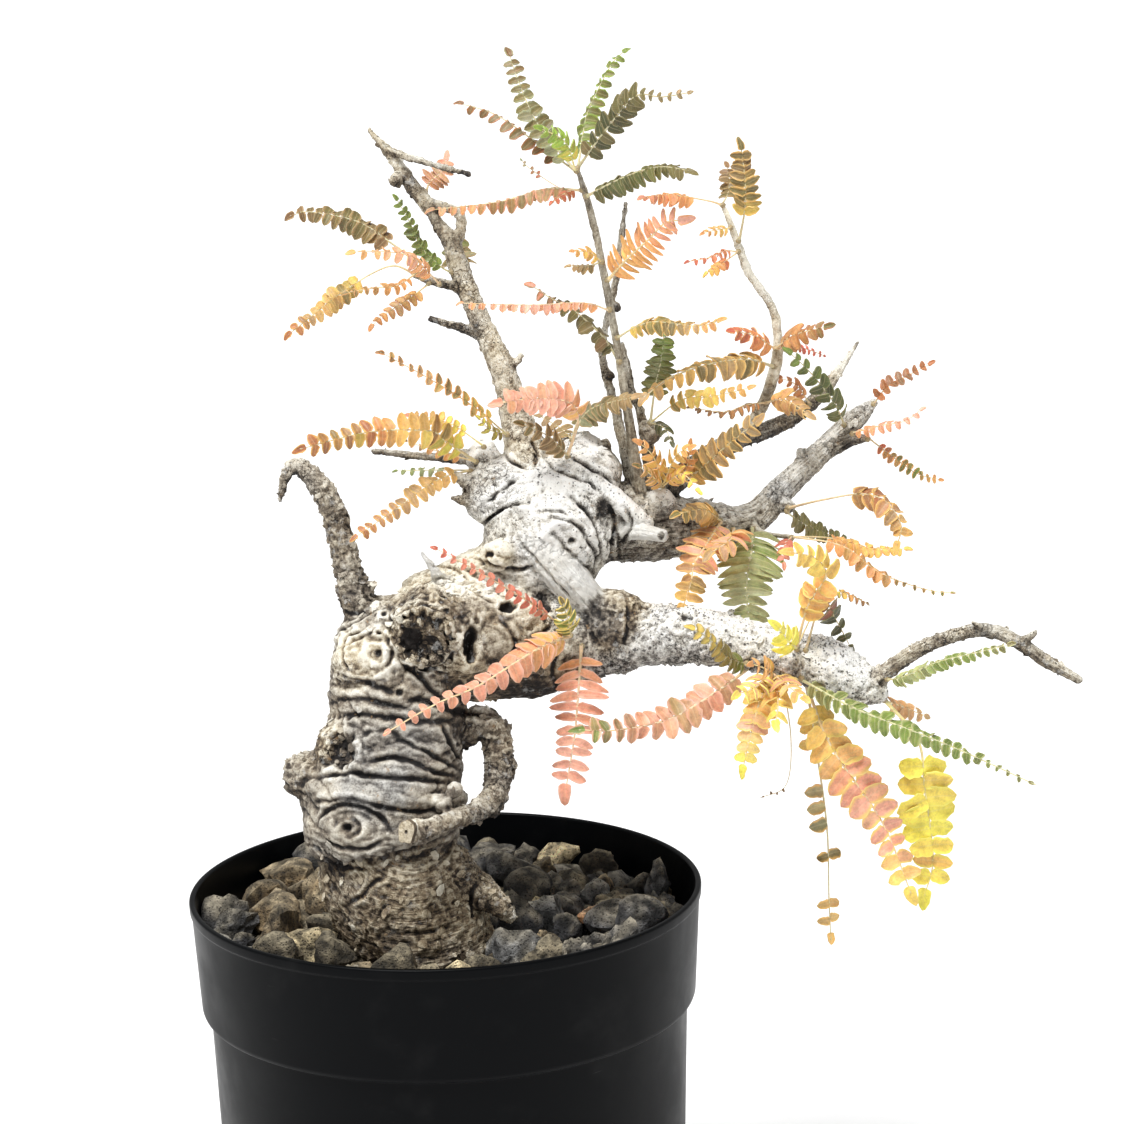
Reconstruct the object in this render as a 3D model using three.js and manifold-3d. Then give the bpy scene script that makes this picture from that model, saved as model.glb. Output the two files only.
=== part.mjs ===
// A small Boswellia neglecta tree, trained as a bonsai, in a round black nursery pot.
// Millimetres, +Z up. The origin is the middle of the pot's underside, and the front faces -Y.
import * as THREE from "three";
import { mergeVertices } from "three/addons/utils/BufferGeometryUtils.js";
import Module from "manifold-3d";

const wasm = await Module();
wasm.setup();
const { Manifold, Mesh } = wasm;

// Driving sizes
const rimRadius = 75;
const potHeight = 130;
const potWall = 1.8;
const bandHeight = 33.5;
const bandFootRadius = 72.6;
const bodyTopRadius = 70.2;
const baseRadius = 67;
const baseThickness = 2.2;
const drainHoleRadius = 5;
const drainHoleRing = 42;
const drainHoles = 5;
const roundSides = 32;
const clearance = 0.3;
const bandStep = 4;
const footRound = 1.5;
const gravelDepth = 13;
const stonePitch = 17.5;
const stoneRadius = 9.6;
const bladeThickness = 0.7;
const ribWidth = 1.1;
const budRadius = 1.25;
const smallReach = 11.5;

// The front view that the tree's limbs and leaves are laid out in: places are given as x and y in a
// view 1124 units square, with y down, and as a depth in millimetres, with larger depths further back.
const view = {
  eye: new THREE.Vector3(36.8, -857, 275.3 + potHeight),
  pitch: THREE.MathUtils.degToRad(11.84),
  roll: THREE.MathUtils.degToRad(-1.641),
  centre: 562,
  focal: 3050,
};

// One limb on each row: x, y, depth and radius, from the thick end outward.
const limbs = {
  bole: { sides: 14, rough: 0.05, route: [
    [452, 1082, -17, 36], [446, 1030, -20, 54], [436, 975, -21, 68], [420, 935, -21, 72], [402, 898, -21, 77],
    [388, 862, -20, 78], [383, 826, -19, 85], [384, 790, -17, 85], [392, 752, -15, 74], [397, 715, -13, 69],
    [396, 680, -11, 66], [394, 648, -10, 60], [398, 622, -9, 46], [406, 606, -8, 20]] },
  rootFlare: { sides: 8, route: [[460, 875, -24, 24], [488, 900, -27, 17], [512, 922, -29, 10]] },
  shoulder: { sides: 12, rough: 0.06, route: [
    [398, 655, -9, 58], [440, 640, -8, 62], [490, 632, -6, 66], [540, 640, -6, 56], [585, 640, -8, 42]] },
  bridge: { sides: 10, rough: 0.06, route: [
    [424, 612, -5, 38], [470, 592, -3, 38], [520, 570, -1, 46], [548, 545, 1, 56]] },
  crown: { sides: 12, rough: 0.06, route: [
    [530, 600, -3, 40], [540, 560, 0, 58], [556, 515, 2, 68], [586, 480, 3, 46], [600, 462, 4, 28]] },
  deadRidge: { sides: 8, route: [[524, 532, -10, 12], [556, 566, -13, 20], [588, 600, -13, 22], [612, 634, -4, 20]] },
  upperLimb: { sides: 8, rough: 0.05, route: [
    [604, 520, 5, 44], [645, 525, 8, 37], [678, 527, 10, 32], [708, 527, 12, 26], [735, 526, 14, 20],
    [757, 516, 17, 16], [780, 492, 20, 14], [810, 463, 24, 13], [838, 436, 29, 12], [860, 415, 32, 11],
    [875, 402, 33, 6]] },
  upperFork: { sides: 6, route: [[826, 448, 27, 11], [850, 440, 26, 8], [868, 438, 25, 5]] },
  lowerLimb: { sides: 10, rough: 0.05, route: [
    [560, 632, -6, 52], [606, 637, -9, 38], [640, 635, -12, 33], [680, 634, -15, 29], [720, 638, -18, 27],
    [760, 648, -21, 25], [800, 658, -25, 26], [840, 672, -29, 26], [866, 688, -31, 20], [884, 694, -32, 10]] },
  lowerEnd: { sides: 7, route: [
    [866, 688, -31, 12], [890, 668, -32, 10], [920, 649, -34, 9], [952, 636, -36, 8], [986, 630, -38, 8],
    [1016, 641, -39, 8], [1046, 661, -40, 7.5], [1080, 681, -41, 6]] },
  leftBranch: { sides: 7, route: [
    [534, 476, 2, 26], [513, 408, 5, 15], [503, 370, 6, 13.5], [480, 320, 9, 11], [459, 268, 12, 11],
    [452, 240, 13, 9], [444, 216, 14, 8], [426, 198, 15, 8], [408, 180, 16, 7.5], [390, 154, 18, 6],
    [368, 129, 20, 3]] },
  spur: { sides: 8, route: [
    [384, 648, -10, 26], [358, 600, -10, 17], [349, 573, -9, 14], [341, 540, -8, 13], [335, 515, -7, 12.5],
    [326, 495, -6, 12], [314, 479, -5, 11], [301, 468, -4, 9], [290, 469, -4, 7], [284, 483, -5, 5], [280, 500, -6, 3.5]] },
  loopRoot: { sides: 8, route: [
    [462, 734, -13, 16], [484, 722, -14, 15], [497, 740, -15, 15], [499, 768, -17, 15], [496, 791, -21, 13],
    [484, 808, -28, 11], [456, 818, -38, 10], [428, 827, -45, 10], [406, 832, -48, 11]] },
  shoot: { sides: 6, route: [
    [640, 497, 4, 9], [629, 420, 0, 6], [618, 350, -2, 5.5], [606, 285, -4, 5.5], [596, 235, -5, 5],
    [586, 195, -6, 5], [577, 168, -7, 3.5]] },
  backBranch: { sides: 8, route: [
    [655, 492, 8, 16], [690, 470, 16, 12], [715, 452, 22, 11], [745, 437, 28, 10], [772, 428, 34, 9],
    [802, 411, 40, 8], [824, 390, 44, 7], [842, 366, 47, 5.5], [858, 342, 50, 3]] },
  paleTwig: { sides: 6, route: [
    [742, 440, 28, 7], [752, 424, 28, 7], [765, 400, 30, 7], [775, 368, 31, 6.5], [778, 342, 31, 6],
    [774, 312, 31, 5.5], [763, 293, 31, 5], [748, 271, 30, 5], [738, 244, 29, 4.5], [728, 217, 28, 3.5],
    [722, 205, 28, 2.8]] },
  deadTwigBack: { sides: 5, route: [
    [634, 492, 6, 7], [613, 400, 12, 5], [602, 352, 15, 4.5], [611, 303, 17, 4], [616, 280, 18, 4],
    [621, 244, 19, 4], [626, 202, 20, 2.8]] },
  deadTwigDark: { sides: 5, route: [
    [655, 488, 7, 10], [642, 418, 10, 5], [633, 395, 11, 5], [628, 370, 12, 4.5], [622, 343, 13, 3]] },
  darkTwig: { sides: 5, route: [[386, 148, 18, 4], [402, 155, 14, 4.5], [430, 164, 8, 3.5], [469, 174, 2, 4]] },
  darkStub: { sides: 5, route: [[482, 334, 8, 7], [456, 326, 5, 5], [430, 319, 3, 3.5]] },
  sideStub: { sides: 5, route: [[460, 289, 11, 6], [445, 284, 8, 5.5], [428, 280, 5, 5], [413, 273, 3, 3.5]] },
  leftStub: { sides: 5, route: [[486, 456, 3, 12], [450, 458, 8, 6], [410, 455, 12, 4.5], [372, 451, 15, 3]] },
  leafStem: { sides: 5, route: [[745, 520, 15, 9], [762, 533, 6, 4], [792, 537, 0, 3]] },
  cutStub: { sides: 7, route: [[622, 528, -3, 12], [645, 532, -8, 9], [664, 536, -11, 7]] },
  finger: { sides: 7, route: [[592, 484, -6, 15], [625, 508, -8, 14], [650, 525, -5, 12]] },
  limbSpur: { sides: 5, route: [[806, 466, 24, 7], [799, 450, 23, 3.5]] },
  limbKnob: { sides: 5, route: [[774, 498, 19, 11], [790, 508, 15, 7]] },
  endSpur: { sides: 5, route: [[1018, 646, -39, 6], [1036, 632, -41, 3]] },
  topSpur: { sides: 5, route: [[992, 634, -38, 6], [972, 622, -40, 2]] },
  collarBump: { sides: 5, route: [[503, 366, 6, 8], [516, 362, 5, 5], [521, 355, 5, 3.5]] },
};

// Burls, knots and scars: x, y, depth and radius
const burls = [
  [430, 628, -18, 44], [466, 650, -20, 30], [366, 662, -18, 34], [344, 750, -22, 32], [348, 830, -28, 36],
  [306, 772, -20, 26], [500, 492, 1, 40], [484, 458, 4, 19], [580, 452, 6, 24], [570, 538, -8, 32],
  [650, 432, 6, 13],
];

// Compound leaves. A spray holds the leaves that share a bud. Each leaf has its rib as x, y and depth, how far
// its leaflets reach, its pairs of leaflets, how far its upper face turns up from the front (turn) and its
// leaflets droop from it (fold), in degrees, the bare share of its rib, and where its leaflets turn small (tail).
const sprays = {
  leaf_crown_left: [
    { rib: [[574, 172, -8], [539, 126, -5], [519, 83, 2], [509, 53, 8]], reach: 16, pairs: 5, turn: 10, fold: 12 },
    { rib: [[574, 172, -8], [546, 150, 2], [498, 116, 9], [459, 103, 14]], reach: 12, pairs: 5, turn: 70, fold: 45, bare: 0.2 },
    { rib: [[574, 172, -8], [565, 142, -18], [540, 128, -26]], reach: 9, pairs: 3, turn: 25, fold: 20, bare: 0.2 },
  ],
  leaf_crown_top: [
    { rib: [[579, 165, -5], [586, 119, 4], [598, 90, 8], [613, 62, 10], [626, 50, 12]], reach: 15, pairs: 5, turn: 40, fold: 25, bare: 0.15 },
    { rib: [[579, 165, -5], [609, 126, -12], [636, 96, -19], [662, 97, -25], [692, 92, -30]], reach: 18, pairs: 6, turn: 15, fold: 10, tail: 0.6 },
  ],
  leaf_crown_right: [
    { rib: [[588, 197, -9], [610, 184, -12], [641, 171, -17], [665, 167, -22], [689, 171, -26]], reach: 17, pairs: 5, turn: 45, fold: 35, bare: 0.1 },
  ],
  leaf_crown_long: [
    { rib: [[582, 190, -6], [546, 189, 0], [498, 202, 3], [430, 210, 4]], reach: 13, pairs: 6, turn: 70, fold: 45, bare: 0.08 },
    { rib: [[582, 190, -6], [568, 192, -10], [552, 202, -16]], reach: 8, pairs: 2, turn: 50, fold: 30, bare: 0.2 },
    { rib: [[582, 190, -6], [560, 188, 12], [528, 167, 18], [520, 158, 20]], reach: 4, pairs: 2, turn: 20, fold: 0, bare: 0.75 },
  ],
  leaf_shoot_right: [
    { rib: [[608, 280, -5], [625, 261, -10], [649, 239, -15], [665, 223, -17], [681, 220, -18]], reach: 18, pairs: 5, turn: 20, fold: 5, bare: 0.08 },
  ],
  leaf_shoot_small: [
    { rib: [[602, 262, -6], [590, 253, -10], [573, 251, -15]], reach: 8, pairs: 2, turn: 45, fold: 20, bare: 0.15 },
    { rib: [[602, 262, -6], [588, 266, -4], [570, 266, -3]], reach: 8, pairs: 2, turn: 50, fold: 30, bare: 0.3 },
  ],
  leaf_shoot_left: [
    { rib: [[609, 311, -5], [583, 303, -8], [531, 305, -14], [459, 303, -20]], reach: 9, pairs: 7, turn: 80, fold: 50, bare: 0.08 },
  ],
  leaf_shoot_low: [
    { rib: [[619, 362, -3], [603, 337, 6], [572, 309, 14], [552, 299, 20], [531, 285, 24]], reach: 14, pairs: 5, turn: 35, fold: 35, bare: 0.1 },
  ],
  leaf_shoot_arch: [
    { rib: [[618, 338, -4], [634, 328, -8], [655, 322, -14], [698, 326, -22], [721, 320, -26]], reach: 12, pairs: 5, turn: 45, fold: 28, bare: 0.15 },
  ],
  leaf_knob: [
    { rib: [[652, 420, 2], [655, 388, 6], [661, 361, 10], [664, 334, 14]], reach: 15, pairs: 5, turn: 10, fold: 10, bare: 0.3 },
    { rib: [[652, 420, 2], [681, 400, -2], [707, 397, -6], [729, 393, -10], [751, 387, -12]], reach: 10, pairs: 5, turn: 20, fold: 0, bare: 0.25 },
    { rib: [[652, 420, 2], [664, 428, -6], [672, 443, -14]], reach: 9, pairs: 2, turn: 30, fold: 30, bare: 0.15 },
  ],
  leaf_twig_top: [
    { rib: [[741, 240, 27], [745, 208, 24], [745, 181, 23], [741, 147, 24]], reach: 15, pairs: 5, turn: 15, fold: 8, bare: 0.3 },
  ],
  leaf_twig_tip: [
    { rib: [[722, 205, 27], [729, 190, 34], [727, 166, 40]], reach: 11, pairs: 4, turn: 20, fold: 8, bare: 0.3 },
    { rib: [[722, 205, 27], [709, 201, 26], [671, 195, 22], [643, 197, 16]], reach: 11, pairs: 5, turn: 60, fold: 40, bare: 0.35 },
  ],
  leaf_twig_small: [
    { rib: [[730, 228, 27], [716, 230, 18], [703, 233, 13]], reach: 7, pairs: 2, turn: 30, fold: 20, bare: 0.15 },
  ],
  leaf_twig_low: [
    { rib: [[738, 252, 28], [725, 251, 20], [711, 257, 14], [687, 262, 10]], reach: 7, pairs: 3, turn: 50, fold: 30, bare: 0.25 },
    { rib: [[738, 252, 28], [720, 265, 26], [707, 273, 26]], reach: 8, pairs: 2, turn: 40, fold: 20, bare: 0.4 },
  ],
  leaf_twig_broad: [
    { rib: [[772, 366, 28], [750, 360, 18], [715, 363, 8], [672, 377, 0], [644, 397, -5]], reach: 17, pairs: 7, turn: 40, fold: 30, bare: 0.12 },
  ],
  leaf_twig_middle: [
    { rib: [[775, 350, 28], [795, 335, 22], [826, 327, 16]], reach: 14, pairs: 3, turn: 35, fold: 20, bare: 0.15 },
    { rib: [[775, 350, 28], [755, 336, 22], [733, 331, 16]], reach: 13, pairs: 3, turn: 35, fold: 20, bare: 0.15 },
    { rib: [[775, 350, 28], [790, 348, 26], [806, 349, 31], [825, 356, 36]], reach: 5, pairs: 3, turn: 30, fold: 10, bare: 0.35 },
  ],
  leaf_twig_foot: [
    { rib: [[767, 403, 25], [785, 400, 16], [807, 413, 8]], reach: 14, pairs: 3, turn: 15, fold: 25, bare: 0.2 },
    { rib: [[767, 403, 25], [746, 405, 14], [724, 412, 6], [689, 407, -2]], reach: 8, pairs: 5, turn: 60, fold: 40, bare: 0.15 },
  ],
  leaf_upper_round: [
    { rib: [[846, 420, 24], [836, 406, 18], [824, 389, 14], [809, 371, 12], [789, 352, 10]], reach: 13, pairs: 5, turn: 20, fold: 10, bare: 0.12 },
  ],
  leaf_back_rust: [
    { rib: [[812, 402, 38], [795, 384, 32], [774, 377, 30]], reach: 8, pairs: 3, turn: 30, fold: 15, bare: 0.2 },
  ],
  leaf_upper_tip: [
    { rib: [[874, 404, 31], [886, 388, 30], [905, 377, 30], [930, 364, 30]], reach: 10, pairs: 4, turn: 40, fold: -30, bare: 0.1 },
  ],
  leaf_upper_thin: [
    { rib: [[852, 430, 25], [884, 425, 17], [905, 421, 14], [922, 409, 14]], reach: 8, pairs: 4, turn: 50, fold: 20, bare: 0.05 },
  ],
  leaf_upper_fork: [
    { rib: [[868, 438, 24], [880, 447, 22], [900, 462, 20], [918, 474, 20], [941, 480, 22]], reach: 7, pairs: 6, turn: 20, fold: 0, bare: 0.15 },
  ],
  leaf_upper_curl: [
    { rib: [[791, 508, 12], [822, 500, 2], [862, 494, -6], [886, 502, -10], [901, 525, -14], [897, 546, -16]], reach: 13, pairs: 4, turn: 30, fold: 30, bare: 0.5 },
  ],
  leaf_upper_olive: [
    { rib: [[786, 514, 13], [806, 525, 20], [830, 535, 24], [852, 541, 26]], reach: 11, pairs: 5, turn: 30, fold: 10, bare: 0.12 },
  ],
  leaf_stem_right: [
    { rib: [[794, 538, -2], [842, 546, -6], [880, 573, -8], [928, 590, -10], [956, 593, -12]], reach: 11, pairs: 6, turn: 50, fold: 30, bare: 0.2, tail: 0.55 },
    { rib: [[794, 538, -2], [830, 538, 8], [868, 548, 12], [908, 549, 14]], reach: 9, pairs: 4, turn: 50, fold: 20, bare: 0.4 },
    { rib: [[794, 538, -2], [784, 546, -8], [784, 564, -12]], reach: 9, pairs: 2, turn: 20, fold: 10, bare: 0.15 },
  ],
  leaf_collar_olive: [
    { rib: [[690, 486, 6], [704, 466, -4], [723, 449, -10], [757, 421, -18]], reach: 17, pairs: 5, turn: 10, fold: 5, bare: 0.15 },
    { rib: [[690, 486, 6], [688, 462, -2], [690, 446, -6]], reach: 11, pairs: 2, turn: 20, fold: 20, bare: 0.2 },
  ],
  leaf_collar_yellow: [
    { rib: [[664, 480, 2], [654, 458, -10], [640, 443, -16]], reach: 12, pairs: 3, turn: 20, fold: 25, bare: 0.15 },
    { rib: [[664, 480, 2], [682, 474, -12], [698, 490, -18]], reach: 10, pairs: 3, turn: 20, fold: 25, bare: 0.2 },
  ],
  leaf_limb_broad: [
    { rib: [[724, 524, 4], [706, 545, -8], [694, 565, -12], [691, 583, -14], [683, 607, -15]], reach: 20, pairs: 5, turn: 15, fold: 15, bare: 0.1 },
    { rib: [[724, 524, 4], [704, 510, -4], [678, 514, -10]], reach: 14, pairs: 4, turn: 40, fold: 25, bare: 0.1 },
  ],
  leaf_limb_green: [
    { rib: [[748, 528, 6], [752, 548, -4], [747, 581, -10], [748, 626, -14]], reach: 26, pairs: 6, turn: 10, fold: 14, bare: 0.12 },
  ],
  leaf_limb_salmon: [
    { rib: [[740, 530, 4], [730, 540, -16], [711, 553, -24]], reach: 18, pairs: 3, turn: 30, fold: 20, bare: 0.3 },
  ],
  leaf_lower_arch: [
    { rib: [[797, 648, -33], [809, 604, -36], [826, 576, -38], [814, 558, -42], [790, 552, -46]], reach: 15, pairs: 5, turn: 25, fold: 15, bare: 0.25 },
    { rib: [[797, 648, -33], [787, 640, -41], [778, 628, -45]], reach: 13, pairs: 2, turn: 20, fold: 15, bare: 0.1 },
    { rib: [[797, 648, -33], [818, 606, -27], [838, 592, -20], [869, 604, -14]], reach: 7, pairs: 3, turn: 50, fold: 20, bare: 0.6 },
  ],
  leaf_lower_hang: [
    { rib: [[806, 650, -32], [822, 600, -22], [836, 620, -12], [851, 648, -8]], reach: 14, pairs: 3, turn: 15, fold: 10, bare: 0.45 },
  ],
  leaf_lower_olive: [
    { rib: [[746, 670, -27], [727, 657, -38], [712, 641, -42], [692, 628, -44]], reach: 9, pairs: 5, turn: 55, fold: 25, bare: 0.1 },
  ],
  leaf_lower_long: [
    { rib: [[744, 676, -24], [722, 688, -28], [672, 718, -32], [617, 730, -36], [579, 730, -38]], reach: 17, pairs: 7, turn: 15, fold: 15, bare: 0.08 },
  ],
  leaf_lower_cluster: [
    { rib: [[770, 678, -28], [761, 699, -38], [752, 730, -42], [743, 768, -44]], reach: 17, pairs: 4, turn: 15, fold: 12, bare: 0.15 },
    { rib: [[770, 678, -28], [778, 700, -44], [776, 722, -54]], reach: 18, pairs: 3, turn: 20, fold: 25, bare: 0.1 },
  ],
  leaf_lower_bare: [
    { rib: [[782, 684, -26], [791, 740, -18], [786, 785, -12], [760, 798, -8]], reach: 3, pairs: 1, turn: 20, fold: 0, bare: 0.85 },
  ],
  leaf_lower_green: [
    { rib: [[800, 684, -34], [856, 709, -46], [918, 733, -54], [971, 755, -58], [1036, 785, -62]], reach: 14, pairs: 7, turn: 55, fold: 20, bare: 0.04, tail: 0.6 },
  ],
  leaf_lower_drop: [
    { rib: [[806, 690, -26], [816, 746, -24], [827, 828, -22], [829, 899, -21], [831, 940, -20]], reach: 15, pairs: 7, turn: 20, fold: 15, bare: 0.12 },
    { rib: [[806, 690, -26], [831, 746, -35], [882, 822, -40], [911, 893, -44]], reach: 25, pairs: 7, turn: 15, fold: 14, bare: 0.1 },
  ],
  leaf_lower_yellow: [
    { rib: [[884, 700, -32], [918, 740, -30], [925, 790, -28], [933, 858, -26], [925, 895, -26]], reach: 27, pairs: 5, turn: 10, fold: 14, bare: 0.4 },
    { rib: [[884, 700, -32], [900, 706, -24], [926, 716, -18]], reach: 12, pairs: 3, turn: 30, fold: 20, bare: 0.2 },
  ],
  leaf_end_green: [
    { rib: [[888, 680, -34], [903, 677, -44], [938, 662, -50], [971, 654, -54], [1012, 644, -58]], reach: 9, pairs: 5, turn: 45, fold: -25, bare: 0.1 },
  ],
  leaf_front_salmon: [
    { rib: [[573, 640, -24], [536, 650, -38], [478, 686, -46], [436, 704, -50], [384, 734, -52]], reach: 13, pairs: 7, turn: 30, fold: 25, bare: 0.06 },
    { rib: [[573, 640, -24], [568, 620, -32], [562, 602, -38]], reach: 9, pairs: 2, turn: 25, fold: 25, bare: 0.1 },
  ],
  leaf_front_hang: [
    { rib: [[578, 648, -24], [578, 697, -28], [574, 740, -30], [566, 788, -32]], reach: 21, pairs: 6, turn: 10, fold: 12, bare: 0.08 },
  ],
  leaf_front_red: [
    { rib: [[556, 620, -22], [527, 601, -30], [486, 576, -34], [433, 547, -38]], reach: 7, pairs: 6, turn: 70, fold: 40, bare: 0.1 },
  ],
  leaf_left_long: [
    { rib: [[474, 462, -2], [444, 440, -9], [428, 431, -12], [369, 432, -16], [300, 449, -22]], reach: 17, pairs: 7, turn: 12, fold: 12, bare: 0.12 },
    { rib: [[474, 462, -2], [444, 453, -2], [405, 441, 0]], reach: 7, pairs: 4, turn: 60, fold: 30, bare: 0.2 },
  ],
  leaf_left_low: [
    { rib: [[470, 470, -2], [438, 480, -8], [389, 514, -12], [354, 538, -16]], reach: 10, pairs: 5, turn: 20, fold: 8, bare: 0.25 },
    { rib: [[470, 470, -2], [438, 470, 4], [395, 471, 10]], reach: 7, pairs: 3, turn: 50, fold: 20, bare: 0.35 },
  ],
  leaf_left_yellow: [
    { rib: [[484, 445, 0], [455, 426, 0], [436, 419, 2], [408, 415, 4]], reach: 8, pairs: 4, turn: 15, fold: 5, bare: 0.25 },
  ],
  leaf_left_high: [
    { rib: [[502, 436, -2], [474, 407, -8], [428, 378, -14], [380, 352, -20]], reach: 9, pairs: 5, turn: 50, fold: -20, bare: 0.15 },
    { rib: [[502, 436, -2], [490, 430, -8], [479, 418, -12]], reach: 8, pairs: 2, turn: 30, fold: 20, bare: 0.15 },
  ],
  leaf_crown_pink: [
    { rib: [[566, 446, -5], [562, 420, -12], [545, 403, -16], [505, 404, -20], [478, 406, -22]], reach: 17, pairs: 5, turn: 15, fold: 12, bare: 0.3 },
  ],
  leaf_crown_olive: [
    { rib: [[572, 440, 2], [590, 410, 0], [634, 397, -8]], reach: 13, pairs: 5, turn: 40, fold: 25, bare: 0.2 },
    { rib: [[572, 440, 2], [580, 418, 6], [600, 420, 16]], reach: 7, pairs: 2, turn: 40, fold: 20, bare: 0.2 },
  ],
  leaf_branch_far: [
    { rib: [[424, 281, 2], [414, 262, 8], [391, 243, 12], [358, 222, 16], [310, 212, 20], [290, 216, 22]], reach: 14, pairs: 5, turn: 25, fold: 20, bare: 0.35 },
  ],
  leaf_branch_green: [
    { rib: [[448, 274, 9], [440, 266, 7], [421, 247, 6], [410, 223, 5], [396, 198, 3]], reach: 11, pairs: 5, turn: 30, fold: 10, bare: 0.15 },
  ],
  leaf_branch_orange: [
    { rib: [[440, 286, 5], [414, 259, -12], [390, 252, -16], [351, 252, -20]], reach: 11, pairs: 5, turn: 40, fold: 25, bare: 0.2 },
  ],
  leaf_branch_low: [
    { rib: [[414, 276, 0], [395, 266, 0], [373, 273, 0], [340, 294, 0], [318, 311, 0], [288, 335, -2]], reach: 12, pairs: 5, turn: 20, fold: 15, bare: 0.4 },
    { rib: [[414, 276, 0], [396, 286, -8], [373, 288, -12], [345, 293, -14]], reach: 8, pairs: 4, turn: 40, fold: 20, bare: 0.15 },
  ],
  leaf_branch_curl: [
    { rib: [[428, 286, 4], [406, 301, -2], [382, 316, -6], [372, 326, -8]], reach: 10, pairs: 4, turn: 35, fold: 15, bare: 0.2 },
  ],
  leaf_branch_back: [
    { rib: [[458, 270, 15], [458, 256, 22], [457, 240, 26]], reach: 17, pairs: 2, turn: 10, fold: 5, bare: 0.25 },
  ],
  leaf_branch_tip: [
    { rib: [[424, 192, 16], [430, 182, 18], [442, 171, 20], [446, 159, 22]], reach: 15, pairs: 4, turn: 20, fold: 8, bare: 0.2 },
  ],
};

const colours = {
  plastic: 0x17191b,
  gravel: 0x5b5650,
  wood: 0xa9a196,
  foliage: [0x7d7a2c, 0xd98a3a, 0xd9765a, 0x6f8438, 0xe0b23a],
};

// Seeded random numbers
function seeded(seed) {
  let state = seed;
  return () => {
    state = (state * 1664525 + 1013904223) % 4294967296;
    return state / 4294967296;
  };
}

// The view's three directions, with its roll already in right and up
function viewAxes() {
  const forward = new THREE.Vector3(0, Math.cos(view.pitch), -Math.sin(view.pitch));
  const level = new THREE.Vector3(1, 0, 0);
  const rise = new THREE.Vector3(0, Math.sin(view.pitch), Math.cos(view.pitch));
  const right = level.clone().multiplyScalar(Math.cos(view.roll)).addScaledVector(rise, Math.sin(view.roll));
  const up = rise.clone().multiplyScalar(Math.cos(view.roll)).addScaledVector(level, -Math.sin(view.roll));
  return { forward, right, up };
}
const axes = viewAxes();

// The point that the front view shows at x, y, at a given depth, and the millimetres in one view unit there
function sight(x, y, depth) {
  const ray = axes.forward.clone()
    .addScaledVector(axes.right, (x - view.centre) / view.focal)
    .addScaledVector(axes.up, -(y - view.centre) / view.focal);
  const reach = (depth - view.eye.y) / ray.y;
  return { point: view.eye.clone().addScaledVector(ray, reach), scale: reach / view.focal };
}

// Turns a closed three.js geometry into a solid, and a solid back into a named mesh
function solidOf(geometry) {
  geometry.deleteAttribute("normal");
  geometry.deleteAttribute("uv");
  const merged = mergeVertices(geometry, 1e-4);
  return new Manifold(new Mesh({
    numProp: 3,
    vertProperties: new Float32Array(merged.attributes.position.array),
    triVerts: new Uint32Array(merged.index.array),
  }));
}

function meshOf(name, solid, colour, roughness) {
  const data = solid.getMesh();
  const geometry = new THREE.BufferGeometry();
  geometry.setAttribute("position", new THREE.BufferAttribute(new Float32Array(data.vertProperties), 3));
  geometry.setIndex(new THREE.BufferAttribute(new Uint32Array(data.triVerts), 1));
  geometry.computeVertexNormals();
  const mesh = new THREE.Mesh(geometry, new THREE.MeshStandardMaterial({ color: colour, roughness, metalness: 0 }));
  mesh.name = name;
  return mesh;
}

// A lathe solid from a profile of radius and height pairs that starts and ends on the axis
function latheSolid(profile, segments) {
  const points = profile.map(([radius, height]) => new THREE.Vector2(radius, height));
  const geometry = new THREE.LatheGeometry(points, segments);
  geometry.rotateX(Math.PI / 2);
  return solidOf(geometry);
}

// A tapering limb: a capped cylinder bent along a smooth curve through the limb's places
function limbSolid({ route, sides, rough = 0 }, extra) {
  const places = route.map(([x, y, depth, radius]) => {
    const { point, scale } = sight(x, y, depth);
    return { point, radius: radius * scale };
  });
  const curve = new THREE.CatmullRomCurve3(places.map((place) => place.point));
  const steps = route.length - 1;
  const rings = [];
  let side = new THREE.Vector3(0, 1, 0);
  for (let i = 0; i <= steps; i++) {
    const share = i / steps;
    const tangent = curve.getTangent(share);
    side = side.clone().addScaledVector(tangent, -side.dot(tangent)).normalize();
    const at = Math.min(share * (route.length - 1), route.length - 1.001);
    const near = Math.floor(at);
    const radius = THREE.MathUtils.lerp(places[near].radius, places[near + 1].radius, at - near);
    rings.push({ centre: curve.getPoint(share), side, across: tangent.clone().cross(side), radius });
  }
  const geometry = new THREE.CylinderGeometry(1, 1, 1, sides, steps);
  const position = geometry.attributes.position;
  for (let i = 0; i < position.count; i++) {
    const ring = rings[Math.round((position.getY(i) + 0.5) * steps)];
    const x = position.getX(i);
    const z = position.getZ(i);
    const spin = Math.atan2(z, x);
    const wave = 1 + rough * Math.sin(3 * spin + ring.centre.z * 0.35) + rough * Math.sin(ring.centre.z * 0.8 + spin);
    const reach = ring.radius * wave + extra;
    const at = ring.centre.clone().addScaledVector(ring.side, z * reach).addScaledVector(ring.across, x * reach);
    position.setXYZ(i, at.x, at.y, at.z);
  }
  return solidOf(geometry);
}

function burlSolid([x, y, depth, radius], extra) {
  const { point, scale } = sight(x, y, depth);
  const geometry = new THREE.IcosahedronGeometry(radius * scale + extra, radius > 20 ? 1 : 0);
  geometry.translate(point.x, point.y, point.z);
  return solidOf(geometry);
}

// The living and dead wood as one body; extra swells it evenly for the room that its neighbours keep
function woodSolid(extra) {
  const pieces = Object.values(limbs).map((limb) => limbSolid(limb, extra));
  return Manifold.union(pieces.concat(burls.map((burl) => burlSolid(burl, extra))));
}

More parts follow.
